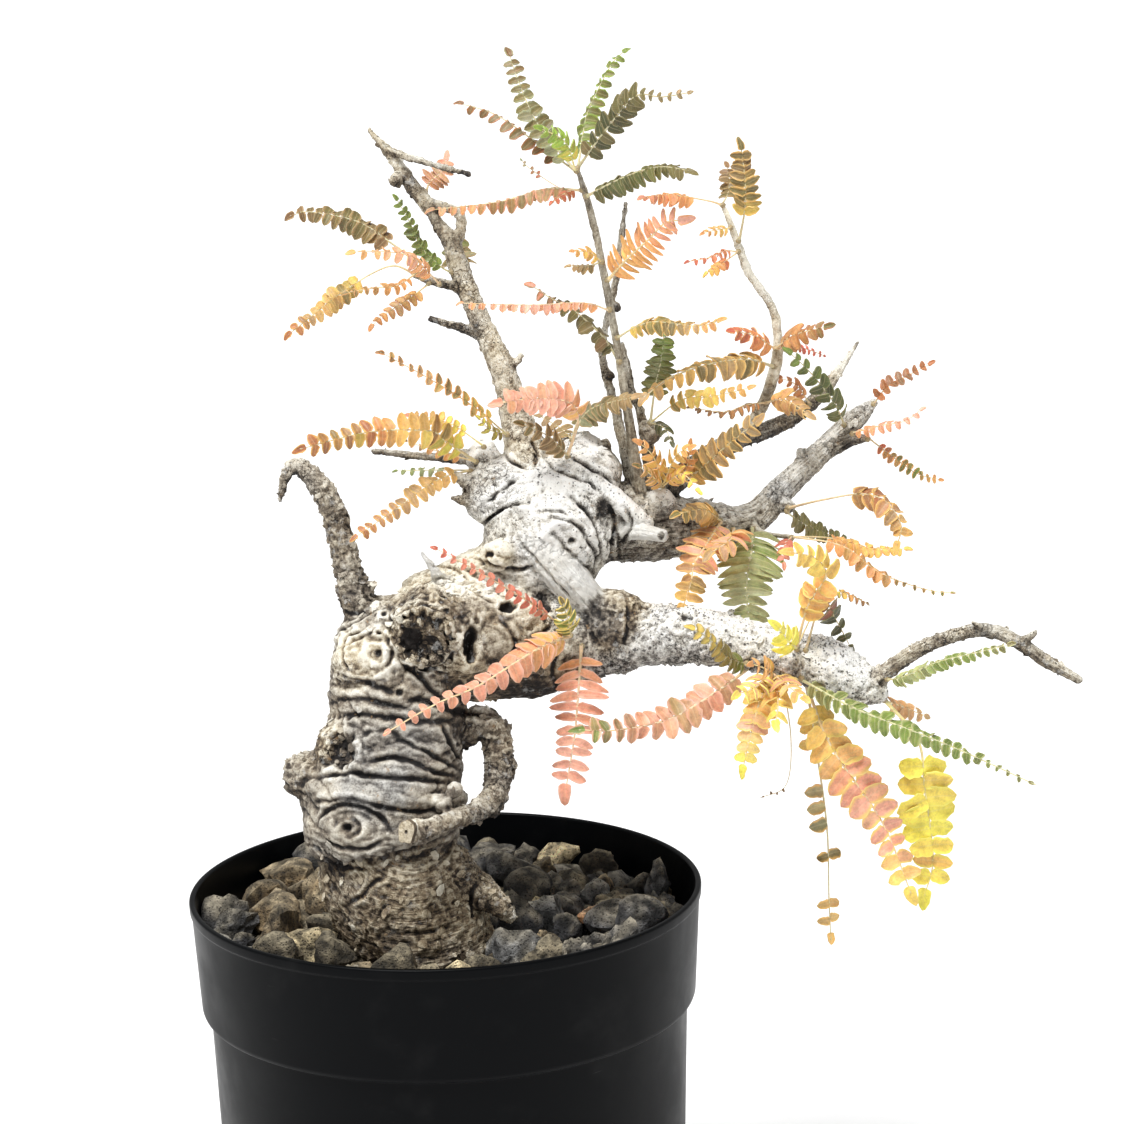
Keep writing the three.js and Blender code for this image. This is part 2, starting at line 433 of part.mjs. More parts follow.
function potSolid() {
  const bandFoot = potHeight - bandHeight;
  const shell = latheSolid([
    [0, 0], [baseRadius - footRound, 0], [baseRadius, footRound], [bodyTopRadius, bandFoot - 0.1 * bandStep],
    [bandFootRadius - 0.5 * potWall, bandFoot], [bandFootRadius, bandFoot + 0.65 * bandStep],
    [rimRadius, potHeight - footRound], [rimRadius - 0.3 * potWall, potHeight], [rimRadius - potWall, potHeight],
    [bandFootRadius - potWall, bandFoot + bandStep], [bodyTopRadius - potWall, bandFoot],
    [baseRadius - potWall, baseThickness], [0, baseThickness],
  ], roundSides);
  const holes = [];
  for (let i = 0; i < drainHoles; i++) {
    const turn = (i / drainHoles) * 2 * Math.PI;
    const hole = new THREE.CylinderGeometry(drainHoleRadius, drainHoleRadius, baseThickness * 3, 8);
    hole.rotateX(Math.PI / 2);
    hole.translate(drainHoleRing * Math.cos(turn), drainHoleRing * Math.sin(turn), 0);
    holes.push(solidOf(hole));
  }
  return shell.subtract(Manifold.union(holes));
}

// A broken stone: a block with its corners pushed about, turned at random
function brokenStone(radius, random) {
  const stone = new THREE.BoxGeometry(1.3 * radius, 1.1 * radius, 1.2 * radius);
  const moved = new Map();
  const position = stone.attributes.position;
  for (let i = 0; i < position.count; i++) {
    const corner = new THREE.Vector3().fromBufferAttribute(position, i);
    const key = corner.toArray().join();
    if (!moved.has(key)) {
      const push = [0, 1, 2].map(() => (random() - 0.5) * 0.45 * radius);
      moved.set(key, corner.add(new THREE.Vector3(...push)));
    }
    position.setXYZ(i, ...moved.get(key).toArray());
  }
  stone.rotateX(random() * 0.6);
  stone.rotateY(random() * 0.6);
  stone.rotateZ(random() * 2 * Math.PI);
  return stone;
}

// Draws in the corners that stand further than a radius from the axis
function drawIn(geometry, radius) {
  const position = geometry.attributes.position;
  for (let i = 0; i < position.count; i++) {
    const share = Math.min(1, radius / Math.hypot(position.getX(i), position.getY(i)));
    position.setXY(i, position.getX(i) * share, position.getY(i) * share);
  }
}

// Gravel: a column that fills the pot, with lava stones standing out of its top
function gravelSolid(swollenWood) {
  const bandFoot = potHeight - bandHeight;
  const inset = potWall + clearance;
  const top = potHeight - gravelDepth;
  const wallAt = THREE.MathUtils.mapLinear(top, bandFoot + bandStep, potHeight, bandFootRadius, rimRadius) - inset;
  const pieces = [latheSolid([
    [0, baseThickness + clearance], [baseRadius - inset, baseThickness + clearance],
    [bodyTopRadius - inset, bandFoot + clearance], [bandFootRadius - inset, bandFoot + bandStep + clearance],
    [wallAt, top], [0, top],
  ], roundSides)];
  const random = seeded(11);
  for (let ring = wallAt - stoneRadius - 1; ring > 0; ring -= stonePitch * 0.88) {
    const count = Math.max(1, Math.round((2 * Math.PI * ring) / stonePitch));
    for (let i = 0; i < count; i++) {
      const turn = ((i + random() * 0.3 + (ring % 2)) / count) * 2 * Math.PI;
      const stone = brokenStone(stoneRadius * (0.86 + 0.14 * random()), random);
      stone.translate(ring * Math.cos(turn), ring * Math.sin(turn), top - 0.5 + random() * 1.5);
      drawIn(stone, wallAt - 1);
      pieces.push(solidOf(stone));
    }
  }
  return biggest(Manifold.union(pieces).subtract(swollenWood));
}

function biggest(solid) {
  return solid.decompose().reduce((best, piece) => (piece.volume() > best.volume() ? piece : best));
}

// The closest point of a mesh to a given point
function closestPoint(mesh, point) {
  const position = mesh.geometry.attributes.position;
  const index = mesh.geometry.index;
  const triangle = new THREE.Triangle();
  const found = new THREE.Vector3();
  let best = { distance: Infinity };
  for (let i = 0; i < index.count; i += 3) {
    triangle.setFromAttributeAndIndices(position, index.getX(i), index.getX(i + 1), index.getX(i + 2));
    triangle.closestPointToPoint(point, found);
    const distance = found.distanceTo(point);
    if (distance < best.distance) best = { distance, point: found.clone(), normal: triangle.getNormal(new THREE.Vector3()) };
  }
  return best;
}

// Gives a sheet of triangles its thickness: both faces alike, and a rim along each open edge
function thickSheet(points, normals, triangles) {
  const positions = [];
  for (const half of [0.5, -0.5]) {
    points.forEach((point, i) => {
      const at = point.clone().addScaledVector(normals[i], half * bladeThickness);
      positions.push(at.x, at.y, at.z);
    });
  }
  const edges = new Map();
  const faces = [];
  const below = points.length;
  for (const [a, b, c] of triangles) {
    faces.push(a, b, c, c + below, b + below, a + below);
    for (const [from, to] of [[a, b], [b, c], [c, a]]) edges.set(`${from} ${to}`, [from, to]);
  }
  for (const [from, to] of edges.values()) {
    if (edges.has(`${to} ${from}`)) continue;
    faces.push(to, from, from + below, to, from + below, to + below);
  }
  return new Manifold(new Mesh({
    numProp: 3,
    vertProperties: new Float32Array(positions),
    triVerts: new Uint32Array(faces),
  }));
}

// A compound leaf: a rib with pairs of leaflets in one thin arched blade
function leafSolid(leaf, root) {
  const places = leaf.rib.map(([x, y, depth]) => sight(x, y, depth));
  const scale = places[1].scale;
  places[0].point = root;
  const curve = new THREE.CatmullRomCurve3(places.map((place) => place.point), false, "centripetal");
  const bare = leaf.bare ?? 0.1;
  const turn = THREE.MathUtils.degToRad(leaf.turn);
  const fold = THREE.MathUtils.degToRad(leaf.fold);
  const points = [];
  const normals = [];
  const triangles = [];
  const stem = Math.max(1, Math.round(bare * 4));
  let last = null;
  for (let i = 0; i <= stem + leaf.pairs; i++) {
    const share = i < stem ? (i / stem) * bare : bare + ((i - stem) / leaf.pairs) * (0.93 - bare);
    const centre = curve.getPointAt(share);
    const along = curve.getTangentAt(share);
    const facing = view.eye.clone().sub(centre);
    facing.addScaledVector(along, -facing.dot(along)).normalize();
    const rise = facing.clone().cross(along);
    if (rise.z < 0) rise.negate();
    const normal = facing.multiplyScalar(Math.cos(turn)).addScaledVector(rise, Math.sin(turn));
    if (last && normal.dot(last.normal) < 0) normal.negate();
    const side = along.clone().cross(normal);
    const station = { centre, along, normal, side, first: points.length };
    for (const hand of [1, -1]) {
      points.push(centre.clone().addScaledVector(side, hand * ribWidth * 0.5));
      normals.push(normal);
    }
    if (last) {
      const [right, left, nextRight, nextLeft] = [last.first, last.first + 1, station.first, station.first + 1];
      triangles.push([right, nextRight, left], [left, nextRight, nextLeft]);
      if (i > stem) addPair(last, station, (i - stem - 0.5) / leaf.pairs);
    }
    last = station;
  }
  const tip = curve.getPointAt(1);
  points.push(tip);
  normals.push(last.normal);
  triangles.push([last.first, points.length - 1, last.first + 1]);
  return thickSheet(points, normals, triangles);

  function addPair(from, to, share) {
    const small = leaf.tail && share > leaf.tail ? 0.45 : 1;
    const length = leaf.reach * scale * small * (0.74 + 0.38 * Math.sin(Math.PI * Math.min(1, share * 1.15 + 0.1)));
    const gap = from.centre.distanceTo(to.centre);
    for (const hand of [1, -1]) {
      const out = from.side.clone().multiplyScalar(hand * Math.cos(fold)).addScaledVector(from.normal, -Math.sin(fold));
      const face = from.normal.clone().multiplyScalar(Math.cos(fold)).addScaledVector(from.side, hand * Math.sin(fold));
      const heel = from.first + (hand > 0 ? 0 : 1);
      const toe = to.first + (hand > 0 ? 0 : 1);
      const tip = points.length;
      const reach = points[heel].clone().addScaledVector(out, length).addScaledVector(from.along, gap * 0.62 + length * 0.14);
      points.push(reach);
      normals.push(face);
      if (leaf.reach < smallReach) {
        triangles.push(hand > 0 ? [heel, tip, toe] : [heel, toe, tip]);
        continue;
      }
      points.push(points[heel].clone().addScaledVector(out, length * 0.62).addScaledVector(from.along, gap * 0.12 + length * 0.1));
      normals.push(face);
      const fan = [[heel, tip + 1, toe], [tip + 1, tip, toe]];
      fan.forEach(([a, b, c]) => triangles.push(hand > 0 ? [a, b, c] : [a, c, b]));
    }
  }
}

// The leaves of one spray, fused at their bud, which sits clear of the wood by the usual gap
function spraySolid(leaves, woodMesh, swollenWood) {
  const [x, y, depth] = leaves[0].rib[0];
  const seat = closestPoint(woodMesh, sight(x, y, depth).point);
  const lift = clearance + (leaves.length > 1 ? budRadius * 0.8 : bladeThickness * 0.5);
  const root = seat.point.clone().addScaledVector(seat.normal, lift);
  const parts = leaves.map((leaf) => leafSolid(leaf, root));
  if (leaves.length > 1) {
    const bud = new THREE.OctahedronGeometry(budRadius, 0);
    bud.translate(root.x, root.y, root.z);
    parts.push(solidOf(bud));
  }
  return biggest(Manifold.union(parts).subtract(swollenWood));
}

const wood = woodSolid(0);
const swollenWood = woodSolid(clearance);
const woodMesh = meshOf("wood", wood, colours.wood, 0.8);
const tree = new THREE.Group();
tree.add(meshOf("pot", potSolid(), colours.plastic, 0.35));
tree.add(meshOf("gravel", gravelSolid(swollenWood), colours.gravel, 0.95));
tree.add(woodMesh);
Object.entries(sprays).forEach(([name, leaves], i) => {
  const colour = colours.foliage[i % colours.foliage.length];
  tree.add(meshOf(name, spraySolid(leaves, woodMesh, swollenWood), colour, 0.6));
});

export default tree;
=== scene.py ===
import math

import bmesh
import bpy
import numpy as np
from mathutils import Matrix, Vector
from mathutils.bvhtree import BVHTree


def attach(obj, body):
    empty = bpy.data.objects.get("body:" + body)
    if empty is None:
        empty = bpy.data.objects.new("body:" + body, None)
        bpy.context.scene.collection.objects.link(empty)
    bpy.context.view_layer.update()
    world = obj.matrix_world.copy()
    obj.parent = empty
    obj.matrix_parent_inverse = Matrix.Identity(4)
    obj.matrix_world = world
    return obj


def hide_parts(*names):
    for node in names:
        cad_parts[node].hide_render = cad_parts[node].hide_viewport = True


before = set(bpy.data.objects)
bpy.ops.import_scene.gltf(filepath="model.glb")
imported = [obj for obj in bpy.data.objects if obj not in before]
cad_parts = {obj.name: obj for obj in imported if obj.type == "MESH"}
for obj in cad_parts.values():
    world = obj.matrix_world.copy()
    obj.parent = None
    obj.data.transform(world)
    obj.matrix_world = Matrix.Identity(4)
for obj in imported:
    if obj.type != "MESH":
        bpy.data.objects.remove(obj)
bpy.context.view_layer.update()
mm = 0.001
print("frame loaded:", len(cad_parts), "nodes")

# The front view
# Limbs and leaves are laid out in it: x and y in a picture 1124 units square, y down, and a depth in mm
frontView = {
    "eye": (0.0368, -0.857, 0.4053),
    "pitch": 11.84,
    "roll": -1.641,
    "size": 1124,
    "focal": 3050,
    "sensor": 36.0,
}
pitch, roll = math.radians(frontView["pitch"]), math.radians(frontView["roll"])
viewEye = np.array(frontView["eye"])
viewForward = np.array([0, math.cos(pitch), -math.sin(pitch)])
levelRise = np.array([0, math.sin(pitch), math.cos(pitch)])
viewRight = np.array([math.cos(roll), 0, 0]) + levelRise * math.sin(roll)
viewUp = levelRise * math.cos(roll) - np.array([math.sin(roll), 0, 0])


def lookRay(x, y):
    across = (np.asarray(x, float) - frontView["size"] / 2) / frontView["focal"]
    down = (np.asarray(y, float) - frontView["size"] / 2) / frontView["focal"]
    return viewForward + across[..., None] * viewRight - down[..., None] * viewUp


def sight(x, y, depth):
    # the place that the view shows at x, y at that depth, and the metres in one view unit there
    ray = lookRay(x, y)
    reach = (np.asarray(depth, float) * mm - viewEye[1]) / ray[..., 1]
    return viewEye + ray * reach[..., None], reach / frontView["focal"]


# Small tools
def unit(rows):
    return rows / np.maximum(np.linalg.norm(rows, axis=-1, keepdims=True), 1e-12)


def smoothStep(low, high, value):
    share = np.clip((value - low) / (high - low), 0, 1)
    return share * share * (3 - 2 * share)


def turns(sides):
    return np.arange(sides) / sides * 2 * math.pi


def smoothLine(knots, step):
    # a curve through the knots, sampled about every step along its first three columns
    knots = np.asarray(knots, float)
    ends = np.vstack([2 * knots[0] - knots[1], knots, 2 * knots[-1] - knots[-2]])
    pieces = []
    for i in range(len(knots) - 1):
        a, b, c, d = ends[i : i + 4]
        count = max(2, int(math.ceil(np.linalg.norm((c - b)[:3]) / step)))
        t = np.arange(count)[:, None] / count
        bend, twist = 2 * a - 5 * b + 4 * c - d, 3 * b - a - 3 * c + d
        pieces.append(0.5 * (2 * b + (c - a) * t + bend * t**2 + twist * t**3))
    return np.vstack(pieces + [knots[-1:]])


def lineFrames(line):
    # directions along a line, and two across it that don't twist
    along = unit(np.gradient(line[:, :3], axis=0))
    side = np.zeros_like(along)
    last = np.array([0.0, 1.0, 0.0])
    for i, direction in enumerate(along):
        last = last - direction * (last @ direction)
        last = last / max(np.linalg.norm(last), 1e-9)
        side[i] = last
    return along, side, np.cross(along, side)


def ringOf(centre, radius, turn, across, side):
    return centre + radius * (np.cos(turn)[:, None] * across + np.sin(turn)[:, None] * side)


def skinFaces(rings, sides):
    # the faces of a closed tube whose two end points come after its rings of points
    faces = []
    for i in range(rings - 1):
        for j in range(sides):
            k = (j + 1) % sides
            faces.append((i * sides + j, i * sides + k, (i + 1) * sides + k, (i + 1) * sides + j))
    first, top = rings * sides, (rings - 1) * sides
    faces += [(first, (j + 1) % sides, j) for j in range(sides)]
    faces += [(first + 1, top + j, top + (j + 1) % sides) for j in range(sides)]
    return faces


def hashed(cells, seed):
    mixed = cells[..., 0] * 73856093 ^ cells[..., 1] * 19349663 ^ cells[..., 2] * 83492791 ^ seed * 97531
    mixed = (mixed ^ (mixed >> 13)) * 1274126177
    return ((mixed ^ (mixed >> 16)) & 0xFFFF) / 65535.0


def softNoise(points, size, seed):
    # gradient noise, about -1 to 1, with features of that size
    p = points / size
    cell = np.floor(p).astype(np.int64)
    part = p - cell
    ease = part * part * part * (part * (part * 6 - 15) + 10)
    total = np.zeros(len(p))
    for corner in range(8):
        offset = np.array([corner & 1, corner >> 1 & 1, corner >> 2 & 1])
        weight = np.prod(np.where(offset, ease, 1 - ease), axis=1)
        slope = np.stack([hashed(cell + offset, seed + 31 * k) * 2 - 1 for k in range(3)], axis=1)
        total += weight * np.sum(slope * (part - offset), axis=1)
    return total * 1.7


def shake(points, size, seed):
    # one noise for each direction
    return np.stack([softNoise(points, size, seed + k) for k in range(3)], axis=1)


def ridgeNoise(points, size, seed):
    # sharp crests between soft hollows, in three sizes, about -0.5 to 0.5
    total = np.zeros(len(points))
    for k in range(3):
        total += (1 - np.minimum(1, np.abs(softNoise(points, size / 2**k, seed + 7 * k)) * 2)) ** 2 * 0.5**k
    return total / 1.2 - 0.45


def cellNoise(points, size, seed):
    # distances to the nearest and the second nearest of scattered points, and the nearest one's own number
    p = points / size
    cell = np.floor(p).astype(np.int64)
    first, second, own = np.full(len(p), 9.0), np.full(len(p), 9.0), np.zeros(len(p))
    for step in range(27):
        here = cell + np.array([step % 3 - 1, step // 3 % 3 - 1, step // 9 - 1])
        spot = here + np.stack([hashed(here, seed + 57 * k) for k in range(3)], axis=1)
        far = np.linalg.norm(spot - p, axis=1)
        nearer = far < first
        second = np.where(nearer, first, np.minimum(second, far))
        own = np.where(nearer, hashed(here, seed + 400), own)
        first = np.where(nearer, far, first)
    return first, second, own


def makeMesh(name, points, faces):
    mesh = bpy.data.meshes.new(name)
    mesh.from_pydata([tuple(p) for p in points], [], [tuple(f) for f in faces])
    mesh.update()
    return mesh


def addObject(name, mesh, materials=()):
    for material in materials:
        mesh.materials.append(material)
    piece = bpy.data.objects.new(name, mesh)
    bpy.context.scene.collection.objects.link(piece)
    mesh.polygons.foreach_set("use_smooth", np.ones(len(mesh.polygons), bool))
    return piece


def storeField(mesh, name, values):
    values = np.asarray(values, np.float32)
    kinds = {1: ("FLOAT", "value"), 3: ("FLOAT_VECTOR", "vector"), 4: ("FLOAT_COLOR", "color")}
    kind, word = kinds[values.size // len(values)]
    mesh.attributes.new(name, kind, "POINT").data.foreach_set(word, values.ravel())


# Wood: its limbs
# Each limb: its bark, then x, y, depth and radius at points from the thick end outward
woodLimbs = {
    "foot": ("base", [
        [439, 988, -21, 60], [436, 975, -21, 68], [420, 935, -21, 71], [402, 898, -21, 73],
        [390, 868, -20, 71], [387, 846, -19, 66]]),
    "bole": ("folded", [
        [390, 851, -20, 50], [390, 846, -20, 70], [388, 838, -19, 75], [384, 822, -19, 80],
        [384, 806, -18, 81], [384, 790, -17, 84], [388, 768, -16, 75], [392, 752, -15, 71],
        [397, 715, -13, 67], [396, 680, -11, 66], [394, 648, -10, 60], [398, 622, -9, 46],
        [406, 606, -8, 20]]),
    "rootFlare": ("dark", [
        [450, 864, -24, 22], [470, 882, -27, 17], [488, 897, -29, 13.5], [501, 908, -30, 10.5],
        [512, 919, -30, 6]]),
    "shoulder": ("cream", [
        [410, 655, -9, 54], [440, 640, -8, 62], [490, 632, -6, 66], [540, 640, -6, 56],
        [585, 640, -8, 42]]),
    "bridge": ("cream", [[424, 612, -5, 38], [470, 592, -3, 38], [520, 570, -1, 46], [548, 545, 1, 56]]),
    "crown": ("bleached", [
        [530, 600, -3, 40], [540, 560, 0, 58], [556, 515, 2, 67], [586, 480, 3, 44], [600, 462, 4, 26]]),
    "deadRidge": ("dead", [
        [522, 526, -9, 10], [534, 540, -12, 17], [556, 566, -14, 19], [580, 592, -14, 20],
        [596, 612, -11, 18], [610, 632, -5, 16]]),
    "upperLimb": ("limb", [
        [604, 520, 5, 42], [645, 525, 8, 36], [678, 527, 10, 31], [708, 527, 12, 26], [735, 526, 14, 20],
        [757, 516, 17, 16], [780, 492, 20, 13.5], [810, 463, 24, 12], [838, 436, 29, 11],
        [860, 415, 32, 10], [875, 402, 33, 4]]),
    "upperFork": ("limb", [[822, 452, 27, 10], [850, 440, 26, 7], [868, 438, 25, 3.5]]),
    "lowerLimb": ("lichen", [
        [560, 632, -6, 52], [606, 637, -9, 38], [640, 635, -12, 32], [680, 634, -15, 28],
        [720, 638, -18, 26], [760, 648, -21, 24], [800, 658, -25, 25], [840, 672, -29, 25],
        [866, 688, -31, 19], [884, 694, -32, 9]]),
    "lowerEnd": ("twig", [
        [866, 688, -31, 11], [890, 668, -32, 9], [920, 649, -34, 8], [952, 636, -36, 7],
        [986, 630, -38, 7], [1016, 641, -39, 7], [1046, 661, -40, 6.5], [1080, 681, -41, 4.5]]),
    "leftBranch": ("pale", [
        [534, 476, 2, 26], [513, 408, 5, 14.5], [503, 370, 6, 13], [480, 320, 9, 10.5],
        [459, 268, 12, 10.5], [452, 244, 13, 9], [438, 224, 14, 6], [428, 206, 14.5, 7],
        [414, 188, 15.5, 7.5], [390, 154, 18, 5.5], [368, 129, 20, 2]]),
    "branchLoop": ("pale", [
        [452, 246, 13, 7], [461, 230, 12, 5.5], [459, 213, 12, 5], [446, 207, 13, 5], [430, 203, 14, 5]]),
    "spur": ("scaly", [
        [384, 648, -10, 26], [358, 600, -10, 17], [349, 573, -9, 14], [341, 540, -8, 12.5],
        [335, 515, -7, 12], [326, 495, -6, 11.5], [314, 479, -5, 10.5], [301, 468, -4, 8.5],
        [290, 469, -4, 6.5], [284, 483, -5, 4.5], [280, 500, -6, 2.6]]),
    "loopRoot": ("scaly", [
        [462, 734, -13, 16], [484, 722, -14, 15], [497, 740, -15, 14.5], [499, 768, -17, 14.5],
        [496, 791, -21, 12.5], [484, 808, -28, 10.5], [456, 818, -38, 9], [428, 827, -45, 9],
        [410, 831, -48, 10]]),
    "shoot": ("green", [
        [640, 497, 4, 8], [629, 420, 0, 5], [618, 350, -2, 4.4], [606, 285, -4, 4.2], [596, 235, -5, 4],
        [586, 195, -6, 3.8], [577, 168, -7, 2.6]]),
    "backBranch": ("brown", [
        [655, 492, 8, 16], [690, 470, 16, 12], [715, 452, 22, 10.5], [745, 437, 28, 9.5],
        [772, 428, 34, 8.5], [802, 411, 40, 7.5], [824, 390, 44, 6.5], [842, 366, 47, 4.5],
        [858, 342, 50, 1.8]]),
    "paleTwig": ("cream", [
        [742, 440, 28, 6.5], [752, 424, 28, 6.5], [765, 400, 30, 6.5], [775, 368, 31, 6],
        [778, 342, 31, 5.5], [774, 312, 31, 5], [763, 293, 31, 4.5], [748, 271, 30, 4.5],
        [738, 244, 29, 4], [728, 217, 28, 3.2], [722, 205, 28, 2.4]]),
    "deadTwigBack": ("twig", [
        [634, 492, 6, 7], [613, 400, 12, 4.5], [602, 352, 15, 4], [611, 303, 17, 3.6], [616, 280, 18, 3.6],
        [621, 244, 19, 3.6], [626, 202, 20, 2.2]]),
    "deadTwigDark": ("twig", [
        [655, 488, 7, 10], [642, 418, 10, 4.8], [633, 395, 11, 4.6], [628, 370, 12, 4],
        [622, 343, 13, 2.4]]),
    "darkTwig": ("twig", [[386, 148, 18, 3.5], [402, 155, 14, 4], [430, 164, 8, 3.2], [469, 174, 2, 3.4]]),
    "darkStub": ("twig", [[482, 334, 8, 7], [456, 326, 5, 4.6], [430, 319, 3, 3]]),
    "sideStub": ("twig", [[460, 289, 11, 6], [445, 284, 8, 5], [428, 280, 5, 4.5], [413, 273, 3, 3]]),
    "leftStub": ("brown", [[486, 456, 3, 12], [450, 458, 8, 5.5], [410, 455, 12, 4], [372, 451, 15, 2.6]]),
    "leafStem": ("green", [[745, 520, 15, 9], [762, 533, 6, 3.6], [792, 537, 0, 2.6]]),
    "cutStub": ("dead", [[622, 528, -3, 12], [645, 532, -8, 8.5], [664, 536, -11, 6.5]]),
    "finger": ("bleached", [[592, 484, -4, 14], [612, 498, -6, 12], [632, 513, -6, 10], [648, 526, -5, 8]]),
    "limbSpur": ("limb", [[806, 466, 24, 7], [799, 450, 23, 3]]),
    "limbKnob": ("limb", [[774, 498, 19, 11], [790, 508, 15, 7]]),
    "endSpur": ("twig", [[1018, 646, -39, 6], [1036, 632, -41, 2.6]]),
    "topSpur": ("twig", [[992, 634, -38, 6], [972, 622, -40, 1.6]]),
    "collarBump": ("pale", [[503, 366, 6, 8], [516, 362, 5, 4.5], [521, 355, 5, 3]]),
    "splinterHigh": ("dark", [[474, 482, -2, 11], [463, 480, -4, 6], [453, 472, -5, 2.4]]),
    "splinterLow": ("dark", [[478, 500, -2, 11], [464, 500, -4, 6], [452, 498, -5, 2.4]]),
    "splinterFront": ("dead", [
        [452, 596, -11, 11], [438, 576, -13, 5.5], [428, 561, -14, 3.4], [420, 550, -14, 1.2]]),
}

# Burls, knots and bulbs: x, y, depth, radius and bark
woodBurls = [
    [430, 628, -18, 42, "dark"], [466, 650, -20, 28, "cream"], [366, 662, -18, 32, "cream"],
    [344, 750, -22, 29, "dark"], [348, 830, -28, 34, "folded"], [308, 776, -20, 24, "scaly"],
    [294, 768, -20, 9, "scaly"], [500, 492, 1, 38, "bleached"], [484, 458, 4, 18, "bleached"],
    [580, 452, 6, 22, "bleached"], [570, 538, -8, 30, "bleached"], [650, 432, 6, 12, "scaly"],
    [442, 803, -36, 10, "folded"], [454, 790, -34, 9, "folded"], [514, 464, 0, 14, "bleached"],
    [604, 448, 5, 8, "dark"], [661, 503, 2, 14, "bleached"], [386, 611, -16, 8, "dark"],
    [372, 587, -12, 6, "scaly"], [396, 180, 13, 7, "dark"], [610, 375, 13, 5, "dark"],
    [616, 307, 16, 5, "dark"], [612, 622, -12, 34, "dark"], [498, 556, -14, 16, "cream"],
]

# How each bark looks: tone from dark 0 to bleached 1, warmth from grey 0 to brown 1, moss for green, and its
# relief: lumps, folds across the limb, rough scales, fine striae, grain along the limb; then its dark specks
barkWords = ["tone", "warmth", "moss", "lumps", "folds", "scales", "striae", "grain", "specks"]
barks = {
    "base": [0.45, 0.95, 0, 0.5, 0.1, 0.75, 0, 0.85, 0.3],
    "folded": [0.46, 0.5, 0, 0.4, 1.0, 0.15, 0.5, 0, 0.25],
    "cream": [0.62, 1.0, 0, 0.75, 0.6, 0.45, 0.3, 0.1, 0.55],
    "bleached": [0.84, 0.15, 0, 0.85, 0.65, 0.3, 0.35, 0, 0.9],
    "dead": [1.1, 0.25, 0, 0.2, 0, 0.1, 0, 1.2, 0.3],
    "dark": [0.3, 0.85, 0, 0.9, 0.3, 1.0, 0.2, 0.1, 0.7],
    "limb": [0.58, 0.5, 0, 0.5, 0.1, 0.5, 0.1, 1.1, 0.8],
    "lichen": [0.72, 0.15, 0, 0.6, 0.3, 1.0, 0.2, 0, 1.2],
    "twig": [0.42, 0.65, 0, 0.25, 0.15, 0.6, 0, 1.0, 0.9],
    "pale": [0.6, 0.85, 0, 0.4, 0.3, 0.7, 0.3, 0.3, 0.8],
    "scaly": [0.38, 0.6, 0, 0.5, 0.5, 1.5, 1.0, 0, 0.7],
    "green": [0.46, 0.6, 0.1, 0.1, 0.05, 0.1, 0, 0.6, 0.3],
    "brown": [0.33, 0.6, 0, 0.4, 0.1, 0.7, 0, 0.6, 0.7],
}

woodMake = {
    "voxel": 0.55 * mm,
    "facet": 1.4 * mm,  # the width of the tubes' faces before they are joined
    "tubeStep": 1.2 * mm,
    "ends": [25, 50, 75],  # degrees of the rings that round a tube's ends
    "endLength": 0.6,  # of the radius
    "lineStep": 2.5 * mm,  # between the points of the limbs' lines that the bark follows
    "relaxRounds": 14,
    "relaxFrom": 1.6 * mm,  # limbs thinner than this keep their shape when joints are smoothed
    "relaxTo": 7.0 * mm,
}


def limbLine(route, step):
    rows = np.array(route, float)
    places, scales = sight(rows[:, 0], rows[:, 1], rows[:, 2])
    return smoothLine(np.column_stack([places, rows[:, 3] * scales]), step)


def tube(line, facet):
    # a closed tube with round ends
    along, side, across = lineFrames(line)
    sides = int(np.clip(2 * math.pi * line[:, 3].max() / facet, 10, 120))
    turn, long = turns(sides), woodMake["endLength"]
    caps = []
    for sign, end in ((-1, 0), (1, -1)):
        centre, radius, ahead = line[end, :3], line[end, 3], sign * along[end]
        caps.append([])
        for lean in np.radians(woodMake["ends"])[::sign]:
            caps[-1].append((centre + ahead * radius * math.sin(lean) * long, end, radius * math.cos(lean)))
    rings = caps[0] + [(row[:3], i, row[3]) for i, row in enumerate(line)] + caps[1]
    points = [ringOf(centre, radius, turn, across[i], side[i]) for centre, i, radius in rings]
    ends = [line[0, :3] - along[0] * line[0, 3] * long, line[-1, :3] + along[-1] * line[-1, 3] * long]
    return np.vstack(points + [np.array(ends)]), skinFaces(len(rings), sides)


def ball(centre, radius, rings=18):
    core = centre + np.linspace(-0.02, 0.02, 3)[:, None] * np.array([0, 0, radius])
    points, faces = tube(np.column_stack([core, np.full(3, radius)]), 2 * math.pi * radius / (rings * 2))
    return centre + unit(points - centre) * radius, faces


def joinWood():
    points, faces, first = [], [], 0
    lines = [limbLine(route, woodMake["tubeStep"]) for bark, route in woodLimbs.values()]
    shapes = [tube(line, woodMake["facet"]) for line in lines]
    for x, y, depth, radius, bark in woodBurls:
        centre, scale = sight(x, y, depth)
        shapes.append(ball(centre, radius * float(scale)))
    for shapePoints, shapeFaces in shapes:
        points.append(shapePoints)
        faces += [tuple(i + first for i in face) for face in shapeFaces]
        first += len(shapePoints)
    rough = bpy.data.objects.new("rough", makeMesh("rough", np.vstack(points), faces))
    bpy.context.scene.collection.objects.link(rough)
    remesh = rough.modifiers.new("join", "REMESH")
    remesh.mode = "VOXEL"
    remesh.voxel_size = woodMake["voxel"]
    depsgraph = bpy.context.evaluated_depsgraph_get()
    joined = bpy.data.meshes.new_from_object(rough.evaluated_get(depsgraph))
    bpy.data.objects.remove(rough)
    return joined


